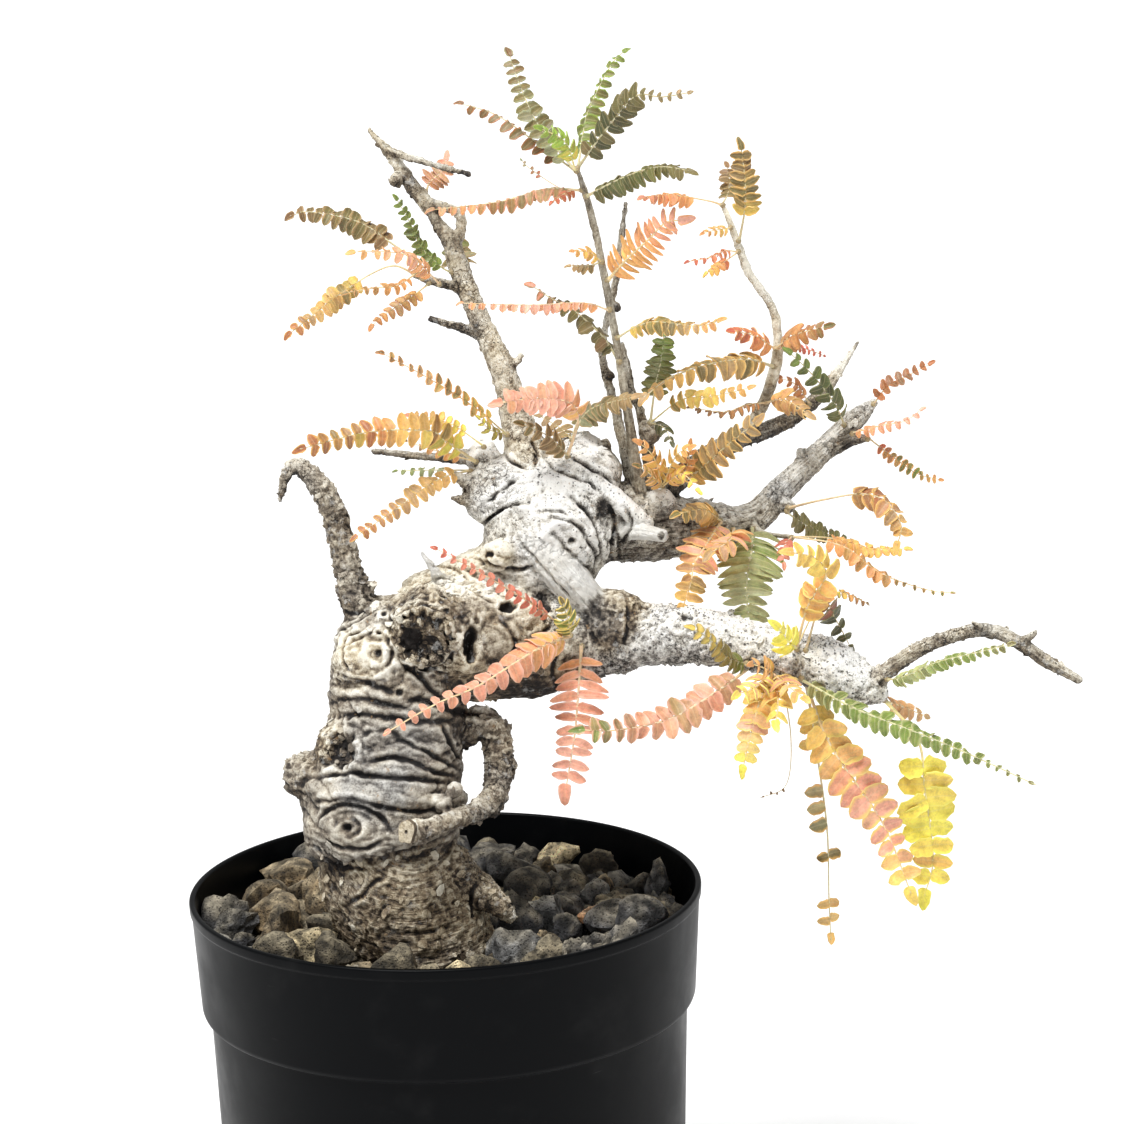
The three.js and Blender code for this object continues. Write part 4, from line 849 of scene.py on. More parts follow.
def newMaterial(name, group, inputs, bump=(0.4, 0.0003), **surface):
    # one group's colour, roughness and height on one principled surface
    material = bpy.data.materials.new(name)
    material.use_nodes = True
    tree = material.node_tree
    shader = tree.nodes["Principled BSDF"]
    effect = addNode(tree, "ShaderNodeGroup", node_tree=group)
    for label, value in inputs.items():
        if isinstance(value, str):
            value, output = value.split(".")
            source = addNode(tree, "ShaderNodeAttribute", attribute_name=value, attribute_type="GEOMETRY")
            tree.links.new(source.outputs[output], effect.inputs[label])
        else:
            effect.inputs[label].default_value = value
    tree.links.new(addNode(tree, "ShaderNodeTexCoord").outputs["Object"], effect.inputs["Place"])
    bumps = {"Strength": bump[0], "Distance": bump[1], "Height": effect.outputs["Height"]}
    relief = addNode(tree, "ShaderNodeBump", bumps)
    tree.links.new(effect.outputs["Colour"], shader.inputs["Base Color"])
    tree.links.new(effect.outputs["Roughness"], shader.inputs["Roughness"])
    tree.links.new(relief.outputs["Normal"], shader.inputs["Normal"])
    for label, value in surface.items():
        shader.inputs[label.replace("_", " ")].default_value = value
    return material


surfaceOutputs = {"Colour": "colour", "Roughness": "number", "Height": "number"}


def closeGroup(tree, out, colour, roughness, height):
    for label, value in (("Colour", colour), ("Roughness", roughness), ("Height", height)):
        tree.links.new(value, out[label])
    return tree


# Tones from dark to light: each stop's share and its colour
barkTones = {
    "grey": [(0, (0.01, 0.009, 0.009)), (1, (0.88, 0.87, 0.84)), (0.2, (0.055, 0.05, 0.046)),
             (0.45, (0.2, 0.19, 0.175)), (0.7, (0.5, 0.485, 0.45))],
    "brown": [(0, (0.012, 0.008, 0.006)), (1, (0.88, 0.83, 0.69)), (0.2, (0.068, 0.046, 0.027)),
              (0.45, (0.24, 0.18, 0.11)), (0.7, (0.56, 0.48, 0.34))],
    "green": [(0, (0.03, 0.022, 0.01)), (1, (0.62, 0.6, 0.36)), (0.5, (0.2, 0.17, 0.06))],
}
barkSpots = {"crust": (0.78, 0.78, 0.75, 1), "speck": (0.035, 0.03, 0.026, 1), "tan": (0.33, 0.2, 0.09, 1)}


def barkGroup():
    inputs = {"Place": "place", "Grain Place": "place"}
    inputs |= dict.fromkeys(["Tone", "Warmth", "Moss", "Specks", "Grain", "Hollow", "Mark"], "number")
    tree, given, out = newGroup("Bark", inputs, surfaceOutputs)
    place = given["Place"]
    broad = noiseOf(tree, place, 150, 4, 0.6)
    middle = noiseOf(tree, place, 520, 4, 0.65)
    fine = noiseOf(tree, place, 1900, 3, 0.6)
    thread = noiseOf(tree, vectors(tree, "MULTIPLY", given["Grain Place"], (0.1, 1.8, 1.8)), 1.2, 4, 0.6)
    tone = sums(tree, "ADD", stepBetween(tree, broad, 0.32, 0.68, -0.1, 0.1), given["Tone"])
    uneven = stepBetween(tree, middle, 0.34, 0.66, -0.15, 0.15)
    uneven = sums(tree, "ADD", uneven, stepBetween(tree, fine, 0.34, 0.66, -0.13, 0.13))
    tone = timesPlus(tree, uneven, timesPlus(tree, given["Specks"], 0.5, 0.4), tone)
    threadShade = times(tree, stepBetween(tree, thread, 0.34, 0.66, -0.5, 0.5), given["Grain"])
    tone = timesPlus(tree, threadShade, 0.24, tone)
    # painted shade: darker in the wood's hollows
    tone = timesPlus(tree, given["Hollow"], -0.42, tone)
    # painted shade in the creases and knot holes
    tone = timesPlus(tree, given["Mark"], -0.7, tone)
    cracks = 0.0
    for scale, width in ((110, 0.008), (260, 0.014), (600, 0.022)):
        wave = sums(tree, "ABSOLUTE", sums(tree, "SUBTRACT", noiseOf(tree, place, scale, 2, 0.5), 0.5))
        cracks = sums(tree, "MAXIMUM", cracks, stepBetween(tree, wave, width, width * 0.3))
    cracks = times(tree, cracks, stepBetween(tree, noiseOf(tree, place, 70, 3), 0.47, 0.58))
    cracks = times(tree, cracks, given["Specks"])
    # the cracks are sunk in the bump and darkened: partly the bark's own dark cracks, partly painted shade in
    # them
    tone = timesPlus(tree, cracks, -0.45, tone)
    grey, brown, green = (rampOf(tree, tone, barkTones[name]) for name in ("grey", "brown", "green"))
    drift = sums(tree, "SUBTRACT", noiseOf(tree, place, 90, 3), 0.5)
    warm = timesPlus(tree, drift, 1.1, given["Warmth"], clamp=True)
    colour = blendColours(tree, warm, grey, brown)
    colour = blendColours(tree, given["Moss"], colour, green)
    crust = stepBetween(tree, noiseOf(tree, place, 330, 5, 0.7), 0.56, 0.66)
    crust = times(tree, crust, times(tree, given["Specks"], 0.55))
    colour = blendColours(tree, crust, colour, barkSpots["crust"])
    for scale, most in ((700, 0.36), (1300, 0.45)):
        shaken = noiseOf(tree, place, 2.2 * scale, 2, output="Color")
        shaken = vectors(tree, "ADD", place, vectors(tree, "MULTIPLY", shaken, (0.9 / scale,) * 3))
        cells = addNode(tree, "ShaderNodeTexVoronoi", {"Vector": shaken, "Scale": scale}).outputs
        own = addNode(tree, "ShaderNodeSeparateColor", {0: cells["Color"]}).outputs
        size = times(tree, sums(tree, "POWER", own[0], 2.5), times(tree, given["Specks"], most))
        dot = stepBetween(tree, cells["Distance"], size, times(tree, size, 0.75))
        dot = times(tree, dot, sums(tree, "GREATER_THAN", size, 0.05))
        colour = blendColours(tree, times(tree, dot, 0.85), colour, barkSpots["speck"])
    tan = stepBetween(tree, noiseOf(tree, place, 420, 3, 0.6), 0.66, 0.72)
    colour = blendColours(tree, times(tree, tan, 0.55), colour, barkSpots["tan"])
    height = timesPlus(tree, fine, 0.7, timesPlus(tree, middle, 1.2, times(tree, threadShade, 0.7)))
    height = timesPlus(tree, cracks, -0.5, height)
    return closeGroup(tree, out, colour, stepBetween(tree, fine, 0.2, 0.8, 0.72, 0.92), height)


def leafGroup():
    inputs = {"Place": "place", "Tint": "colour", "Edge": "colour", "Blade": "place", "Rib": "number"}
    tree, given, out = newGroup("Leaf blade", inputs, surfaceOutputs)
    blade = addNode(tree, "ShaderNodeSeparateXYZ", {0: given["Blade"]}).outputs
    across = sums(tree, "ABSOLUTE", blade["Y"])
    blotch = noiseOf(tree, given["Place"], 420, 4, 0.6)
    mottle = noiseOf(tree, given["Place"], 1600, 3, 0.6)
    shade = stepBetween(tree, blotch, 0.3, 0.7, -0.18, 0.18)
    shade = sums(tree, "ADD", shade, stepBetween(tree, mottle, 0.3, 0.7, -0.1, 0.1))
    colour = brightened(tree, given["Tint"], sums(tree, "ADD", shade, 1.0))
    edge = timesPlus(tree, sums(tree, "SUBTRACT", blotch, 0.5), 0.8, across)
    edge = times(tree, stepBetween(tree, edge, 0.5, 0.95), 0.75)
    colour = blendColours(tree, edge, colour, given["Edge"])
    slant = timesPlus(tree, across, -2.2, times(tree, blade["X"], 8.0))
    vein = sums(tree, "PINGPONG", slant, 0.5)
    vein = times(tree, stepBetween(tree, vein, 0.1, 0.0), 0.2)
    midrib = times(tree, stepBetween(tree, across, 0.12, 0.05), 0.3)
    rim = times(tree, stepBetween(tree, across, 0.84, 0.97), 0.26)
    colour = blendColours(tree, rim, colour, blendColours(tree, 0.5, given["Edge"], (0.9, 0.84, 0.6, 1)))
    lines = sums(tree, "MAXIMUM", sums(tree, "MAXIMUM", vein, midrib), times(tree, given["Rib"], 0.5))
    pale = blendColours(tree, 0.55, colour, (0.86, 0.74, 0.45, 1))
    colour = blendColours(tree, lines, colour, pale)
    height = timesPlus(tree, mottle, 0.25, times(tree, lines, 1.2))
    return closeGroup(tree, out, colour, stepBetween(tree, mottle, 0.2, 0.8, 0.42, 0.6), height)


def stoneGroup():
    inputs = {"Place": "place", "Tint": "colour"}
    tree, given, out = newGroup("Lava stone", inputs, surfaceOutputs)
    broad = noiseOf(tree, given["Place"], 260, 4, 0.6)
    fine = noiseOf(tree, given["Place"], 1500, 4, 0.7)
    pits = addNode(tree, "ShaderNodeTexVoronoi", {"Vector": given["Place"], "Scale": 1100}, feature="F1")
    pits = stepBetween(tree, pits.outputs["Distance"], 0.12, 0.42)
    colour = brightened(tree, given["Tint"], stepBetween(tree, broad, 0.32, 0.68, 0.4, 2.1))
    pitShade = times(tree, sums(tree, "SUBTRACT", 1.0, pits), 0.7)
    colour = blendColours(tree, pitShade, colour, (0.01, 0.009, 0.009, 1))
    dust = stepBetween(tree, fine, 0.58, 0.75)
    colour = blendColours(tree, times(tree, dust, 0.22), colour, (0.2, 0.17, 0.14, 1))
    rough = noiseOf(tree, given["Place"], 520, 5, 0.75)
    height = timesPlus(tree, rough, 2.2, timesPlus(tree, pits, 0.5, fine))
    return closeGroup(tree, out, colour, stepBetween(tree, fine, 0.2, 0.8, 0.7, 0.95), height)


def plasticGroup():
    inputs = {"Place": "place", "Tint": "colour"}
    tree, given, out = newGroup("Moulded plastic", inputs, surfaceOutputs)
    grainy = noiseOf(tree, given["Place"], 2600, 2, 0.5)
    cloudy = noiseOf(tree, given["Place"], 45, 4, 0.6)
    stretched = vectors(tree, "MULTIPLY", given["Place"], (60, 60, 900))
    scuff = stepBetween(tree, noiseOf(tree, stretched, 1.0, 4, 0.7), 0.66, 0.74)
    scuff = times(tree, scuff, stepBetween(tree, cloudy, 0.45, 0.65))
    dust = stepBetween(tree, cloudy, 0.5, 0.8, 0.0, 0.02)
    colour = blendColours(tree, timesPlus(tree, scuff, 0.1, dust), given["Tint"], (0.3, 0.29, 0.28, 1))
    roughness = timesPlus(tree, scuff, 0.12, stepBetween(tree, cloudy, 0.3, 0.7, 0.34, 0.46))
    return closeGroup(tree, out, colour, roughness, grainy)


barkInputs = {"Grain Place": "grainPlace.Vector"}
for label in ("Tone", "Warmth", "Moss", "Specks", "Grain", "Hollow", "Mark"):
    barkInputs[label] = label.lower() + ".Fac"
barkMaterial = newMaterial("weathered bark", barkGroup(), barkInputs, bump=(0.85, 0.0006))
leafInputs = {"Tint": "tint.Color", "Edge": "edge.Color", "Blade": "blade.Vector", "Rib": "rib.Fac"}
leafGlow = {"Subsurface_Weight": 0.22, "Subsurface_Radius": (1.0, 0.55, 0.2), "Subsurface_Scale": 0.0012}
leafMaterial = newMaterial("living leaf", leafGroup(), leafInputs, bump=(0.35, 0.00015), **leafGlow)
stoneMaterial = newMaterial("lava stone", stoneGroup(), {"Tint": "tint.Color"}, bump=(1.0, 0.0011))
potTint = {"Tint": (0.0012, 0.0015, 0.002, 1)}
potBump = (0.12, 0.00008)
plasticMaterial = newMaterial("black plastic", plasticGroup(), potTint, potBump, Specular_IOR_Level=0.07)
print("materials ready")

# Wood: pieces
woodPieces = {
    "trunkFoot": ["foot", "rootFlare", "loopRoot"],
    "trunk": ["bole", "shoulder", "spur", "splinterFront"],
    "crown": ["crown", "bridge", "deadRidge", "finger", "cutStub", "splinterHigh", "splinterLow"],
}
woodPieces["limbs"] = [name for name in woodLimbs if not any(name in names for names in woodPieces.values())]


def barkAttributes(mesh, kept):
    for word in ("tone", "warmth", "moss", "specks", "grain"):
        storeField(mesh, word, barkLook[word][kept])
    storeField(mesh, "grainPlace", woodOwn[kept])
    storeField(mesh, "hollow", hollow[kept, 0])
    storeField(mesh, "mark", hollow[kept, 1])


def woodPiece(name, chosen):
    picked = woodQuads[np.isin(woodNames[woodQuads[:, 0]], chosen)]
    kept, faces = np.unique(picked, return_inverse=True)
    mesh = makeMesh(name, woodPoints[kept], faces.reshape(-1, 4))
    piece = addObject(name, mesh, [barkMaterial])
    mesh.normals_split_custom_set_from_vertices(woodNormals[kept])
    print(name, "has", 2 * len(picked), "triangles")
    barkAttributes(mesh, kept)
    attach(piece, "root")
    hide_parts("wood")
    return piece


flakeMake = {
    "seed": 21,
    "count": 2600,
    "size": [0.9, 2.6],  # mm
    "lift": [0.15, 0.75],
    "thickness": 0.22,
    # rough places: x, y, reach in view units and how much more of the flakes they get
    "rough": [
        [464, 490, 14, 14], [600, 448, 12, 14], [655, 510, 16, 6], [426, 640, 34, 7], [341, 750, 24, 8],
        [545, 600, 16, 6], [362, 600, 20, 6], [860, 692, 24, 6], [330, 855, 24, 5], [500, 590, 16, 5],
        [455, 590, 24, 5], [500, 905, 24, 5],
    ],
    # how many the limbs get
    "limbs": {
        "foot": 1.0, "spur": 1.3, "loopRoot": 1.1, "bole": 0.35, "shoulder": 0.5, "lowerEnd": 0.7,
        "lowerLimb": 0.35, "backBranch": 0.5, "upperLimb": 0.4, "leftBranch": 0.35, "rootFlare": 1.0,
        "crown": 0.25, "leftStub": 0.6,
    },
    "lowest": 117 * mm,
    "sides": 7,
    "stretch": 1.35,
    "uneven": 0.09,  # in tone
    "sharp": 40,
}


def makeFlakes():
    # loose scales of bark that stand a little off the wood at one edge
    random = np.random.RandomState(flakeMake["seed"])
    weight = np.zeros(len(woodPoints))
    for name, share in flakeMake["limbs"].items():
        weight[woodNames == name] = share
    weight *= np.clip(barkLook["scales"], 0.1, 1.2)
    for x, y, reach, more in flakeMake["rough"]:
        centre, normal = viewHit(woodTree, x, y)
        far = np.linalg.norm(woodPoints - centre, axis=1) / (reach * barkMake["viewUnit"] * mm)
        weight += more * np.clip(1 - far, 0, 1)
    weight *= woodPoints[:, 2] > flakeMake["lowest"]
    spots = random.choice(len(woodPoints), flakeMake["count"], replace=False, p=weight / weight.sum())
    points, faces, chosen, first = [], [], [], 0
    sides = flakeMake["sides"]
    turn, under = turns(sides), sides + 1
    for spot in spots:
        normal = woodNormals[spot]
        across = unit(np.cross(normal, random.normal(size=3)))
        up = np.cross(normal, across)
        size = np.interp(random.random_sample() ** 2, [0, 1], flakeMake["size"])
        size *= 0.5 + 0.5 * min(1, woodRadius[spot] / (5 * mm))
        lift = np.interp(random.random_sample(), [0, 1], flakeMake["lift"])
        reach = size * (0.55 + 0.6 * random.random_sample(sides)) * 0.6
        x, y = reach * np.cos(turn) * flakeMake["stretch"], reach * np.sin(turn)
        high = lift * smoothStep(-0.4, 1, x / size) - 0.12
        top = np.vstack([np.column_stack([x, y, high]), [[0, 0, lift * 0.35 + 0.06]]])
        shape = np.vstack([top, top - [0, 0, flakeMake["thickness"]]])
        place = shape[:, :1] * across + shape[:, 1:2] * up + shape[:, 2:] * normal
        points.append(woodPoints[spot] + place * mm)
        low = first + under
        for j in range(sides):
            k = (j + 1) % sides
            faces += [(first + j, first + k, first + sides), (low + k, low + j, low + sides)]
            faces.append((first + j, low + j, low + k, first + k))
        first += 2 * under
        chosen.append(np.full(2 * under, spot))
    mesh = makeMesh("barkFlakes", np.vstack(points), faces)
    chosen = np.concatenate(chosen)
    barkAttributes(mesh, chosen)
    shade = np.repeat(random.normal(size=len(spots)) * flakeMake["uneven"], 2 * under)
    tones = barkLook["tone"][chosen] + shade
    mesh.attributes["tone"].data.foreach_set("value", tones.astype(np.float32))
    piece = addObject("barkFlakes", mesh, [barkMaterial])
    mesh.set_sharp_from_angle(angle=math.radians(flakeMake["sharp"]))
    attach(piece, "root")
    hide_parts("wood")


cutMake = {
    "at": [406, 832, -52],  # in the front view, as its reach is
    "reach": [8.5, 12.5],
    "facing": (-0.45, -0.85, 0.12),
    "upright": (0.1, 0, 1),
    "tone": 0.66,
    "warmth": 1.0,
    "sides": 40,
    "rings": [0.0, 0.14, 0.2, 0.4, 0.6, 0.8, 0.95, 1.0, 1.0],  # shares of the reach, and their heights in mm
    "heights": [-0.5, -0.35, 0.02, 0.0, 0.03, 0.0, 0.02, -0.15, -1.6],
    "sharp": 40,
}


def makeCutFace():
    # the sawn end of the looped root, with its rings and pith
    x, y, depth = cutMake["at"]
    place, scale = sight(x, y, depth)
    normal = unit(np.array(cutMake["facing"]))
    upright = np.array(cutMake["upright"])
    up = unit(upright - normal * (upright @ normal))
    side = np.cross(up, normal)
    sides, rings, heights = cutMake["sides"], cutMake["rings"], cutMake["heights"]
    turn = turns(sides)
    wobble = 1 + 0.08 * np.sin(2 * turn + 1) + 0.05 * np.sin(5 * turn)
    square = 1 / np.maximum(np.abs(np.cos(turn)), np.abs(np.sin(turn))) ** 0.35
    wide, tall = (np.cos(turn) * cutMake["reach"][0])[:, None], (np.sin(turn) * cutMake["reach"][1])[:, None]
    spot = wide * side + tall * up
    points = [place + normal * heights[0] * mm]
    for ring, height in zip(rings[1:], heights[1:]):
        points += list(place + spot * (float(scale) * ring * wobble * square)[:, None] + normal * height * mm)
    faces = [(0, 1 + j, 1 + (j + 1) % sides) for j in range(sides)]
    for i in range(len(rings) - 2):
        inner, outer = 1 + i * sides, 1 + (i + 1) * sides
        for j in range(sides):
            k = (j + 1) % sides
            faces.append((inner + j, outer + j, outer + k, inner + k))
    faces.append(tuple(1 + (len(rings) - 2) * sides + j for j in range(sides)))
    mesh = makeMesh("cutFace", points, faces)
    share = np.array([rings[0]] + [ring for ring in rings[1:] for _ in range(sides)])
    tone = cutMake["tone"] + 0.06 * np.sin(share * 34) - 0.45 * (share < 0.17) - 0.35 * (share > 0.97)
    barkAttributes(mesh, np.zeros(len(points), int))
    warmth = np.full(len(tone), cutMake["warmth"])
    for word, values in (("tone", tone), ("warmth", warmth), ("hollow", 0 * tone), ("mark", 0 * tone)):
        mesh.attributes[word].data.foreach_set("value", values.astype(np.float32))
    piece = addObject("cutFace", mesh, [barkMaterial])
    mesh.set_sharp_from_angle(angle=math.radians(cutMake["sharp"]))
    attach(piece, "root")
    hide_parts("wood")


makeFlakes()
makeCutFace()
for name, chosen in woodPieces.items():
    woodPiece(name, chosen)
print("wood placed")

# Pot
potMake = {
    "segments": 192,
    "rim": 75.0,
    "height": 130.0,
    "wall": 1.8,
    "band": 33.5,
    "bandFoot": 72.6,
    "bodyTop": 70.2,
    "base": 67.0,
    "floor": 2.2,
    "hole": 5.0,
    "holeRing": 42.0,
    "holes": 5,
    "sharp": 50,
}


def rounded(corners, steps=5):
    # a profile of radius and height pairs with its corners rounded; each corner has its own radius
    out = []
    for i, (radius, height, bend) in enumerate(corners):
        here = np.array([radius, height])
        if bend == 0 or i in (0, len(corners) - 1):
            out.append(here)
            continue
        before = np.array(corners[i - 1][:2]) - here
        after = np.array(corners[i + 1][:2]) - here
        start = here + before / np.linalg.norm(before) * min(bend, 0.48 * np.linalg.norm(before))
        end = here + after / np.linalg.norm(after) * min(bend, 0.48 * np.linalg.norm(after))
        for t in np.linspace(0, 1, steps):
            out.append((1 - t) ** 2 * start + 2 * t * (1 - t) * here + t**2 * end)
    return np.array(out)


def lathe(profile, segments):
    # a closed turned solid in mm; the profile starts and ends on the axis
    inner = profile[1:-1]
    circle = np.stack([np.cos(turns(segments)), np.sin(turns(segments))], axis=1)
    rings = [np.column_stack([circle * radius, np.full(segments, height)]) for radius, height in inner]
    points = np.vstack(rings + [[[0, 0, profile[0][1]], [0, 0, profile[-1][1]]]])
    return points, skinFaces(len(inner), segments)


def cutWith(body, cutter):
    # what is left of a mesh when the cutter is taken out of it
    hole = body.modifiers.new("cut", "BOOLEAN")
    hole.operation, hole.solver, hole.object = "DIFFERENCE", "EXACT", cutter
    result = bpy.data.meshes.new_from_object(body.evaluated_get(bpy.context.evaluated_depsgraph_get()))
    body.modifiers.remove(hole)
    bpy.data.objects.remove(cutter)
    return result


def makePot():
    m = potMake
    foot = m["height"] - m["band"]
    base, bodyTop, bandFoot = m["base"], m["bodyTop"], m["bandFoot"]
    rim, height, wall = m["rim"], m["height"], m["wall"]
    profile = rounded([
        (0, 0.9, 0), (28, 0.9, 1), (29, 0, 0.5), (32, 0, 0.5), (33, 0.9, 1), (base - 5, 0.9, 1),
        (base - 4, 0, 0.6), (base, 0, 1.4), (bodyTop, foot - 0.4, 0.8), (bandFoot - 0.5, foot - 0.1, 0.9),
        (bandFoot + 0.1, foot + 1.2, 0.5), (rim - 0.65, height - 3.4, 0.4), (rim - 0.12, height - 2.9, 0.4),
        (rim, height, 0.8), (rim - wall, height, 0.7), (bandFoot - wall, foot + 4, 1),
        (bodyTop - wall, foot, 1), (base - wall, m["floor"], 1.5), (0, m["floor"], 0),
    ])
    points, faces = lathe(profile, m["segments"])
    body = addObject("potBody", makeMesh("potBody", points * mm, faces))
    holePoints, holeFaces, first = [], [], 0
    for i in range(m["holes"]):
        turn = i / m["holes"] * 2 * math.pi
        points, faces = lathe([(0, -3), (m["hole"], -3), (m["hole"], 6), (0, 6)], 40)
        holePoints.append(points + [m["holeRing"] * math.cos(turn), m["holeRing"] * math.sin(turn), 0])
        holeFaces += [tuple(k + first for k in face) for face in faces]
        first += len(points)
    cutter = addObject("potHoles", makeMesh("potHoles", np.vstack(holePoints) * mm, holeFaces))
    mesh = cutWith(body, cutter)
    bpy.data.objects.remove(body)
    mesh.materials.append(plasticMaterial)
    pot = addObject("nurseryPot", mesh)
    mesh.set_sharp_from_angle(angle=math.radians(m["sharp"]))
    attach(pot, "root")
    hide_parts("pot")
    return pot


makePot()
print("pot placed")

# Gravel
stoneColours = {
    "charcoal": (0.026, 0.026, 0.028),
    "slate": (0.06, 0.06, 0.062),
    "grey": (0.13, 0.13, 0.128),
    "umber": (0.06, 0.048, 0.03),
    "brown": (0.12, 0.085, 0.045),
    "tan": (0.42, 0.34, 0.2),
    "ochre": (0.36, 0.29, 0.16),
    "orange": (0.3, 0.15, 0.07),
    "dust": (0.3, 0.26, 0.18),
}
gravelMake = {
    "seed": 5,
    "soil": 113.5,  # the height of the fine soil under the stones
    "top": 117.0,
    "dust": 0.4,
    "layers": [[120, 3.2, 5.2, 2], [112, 3.4, 7.2, 3]],  # stones, smallest and largest radius, detail
    "shades": ["charcoal", "charcoal", "slate", "slate", "umber", "umber", "brown", "grey"],
    # stones of a named colour where the front view shows them: x, y, how far around, colour
    "named": [
        [300, 915, 45, "brown"], [330, 940, 25, "umber"], [503, 952, 24, "grey"], [542, 856, 7, "tan"],
        [542, 898, 7, "ochre"], [444, 961, 7, "tan"], [316, 955, 7, "tan"], [600, 919, 5, "orange"],
    ],
    "tries": 24,
    "flats": 9,
    "swell": 1.72,  # makes up for what the flats take off
    "sharp": 26,
    "soilColour": [0.03, 0.022, 0.017, 1],
}


def inView(points):
    offset = points - viewEye
    far = offset @ viewForward
    x = frontView["size"] / 2 + frontView["focal"] * (offset @ viewRight) / far
    y = frontView["size"] / 2 - frontView["focal"] * (offset @ viewUp) / far
    return x, y


def gravelWall(height):
    # how far the fill reaches from the axis at a height, in mm, with a gap to the pot
    m = potMake
    foot = m["height"] - m["band"]
    return float(np.interp(height, [foot + 4, m["height"]], [m["bandFoot"], m["rim"]])) - m["wall"] - 0.3


def placeStones(random):
    # drops each stone where it comes to lie lowest of a few tries
    placed = np.zeros((0, 4))
    details = []
    for count, small, large, detail in gravelMake["layers"]:
        for _ in range(count):
            radius = small + (large - small) * random.random_sample() ** 1.4
            best = None
            for _ in range(gravelMake["tries"]):
                turn, out = random.random_sample() * 2 * math.pi, math.sqrt(random.random_sample())
                reach = (gravelWall(gravelMake["top"]) - radius * 0.92) * out
                x, y = reach * math.cos(turn), reach * math.sin(turn)
                height = gravelMake["soil"] + radius * 0.25
                if len(placed):
                    apart = np.hypot(placed[:, 0] - x, placed[:, 1] - y)
                    touch = 0.86 * (placed[:, 3] + radius)
                    over = apart < touch
                    if over.any():
                        rise = placed[over, 2] + np.sqrt(touch[over] ** 2 - apart[over] ** 2) * 0.8
                        height = max(height, rise.max())
                at = Vector((x * mm, y * mm, height * mm))
                near = woodTree.find_nearest(at)
                if near[3] / mm < 0.8 * radius or (at - near[0]).dot(near[1]) < 0:
                    continue
                if best is None or height < best[2]:
                    best = (x, y, height, radius)
            if best is not None:
                placed = np.vstack([placed, best])
                details.append(detail)
    return placed, details


def ballTemplate(detail):
    shape = bmesh.new()
    bmesh.ops.create_icosphere(shape, subdivisions=detail, radius=1)
    points = np.array([tuple(v.co) for v in shape.verts])
    faces = np.array([[v.index for v in f.verts] for f in shape.faces])
    shape.free()
    return points, faces


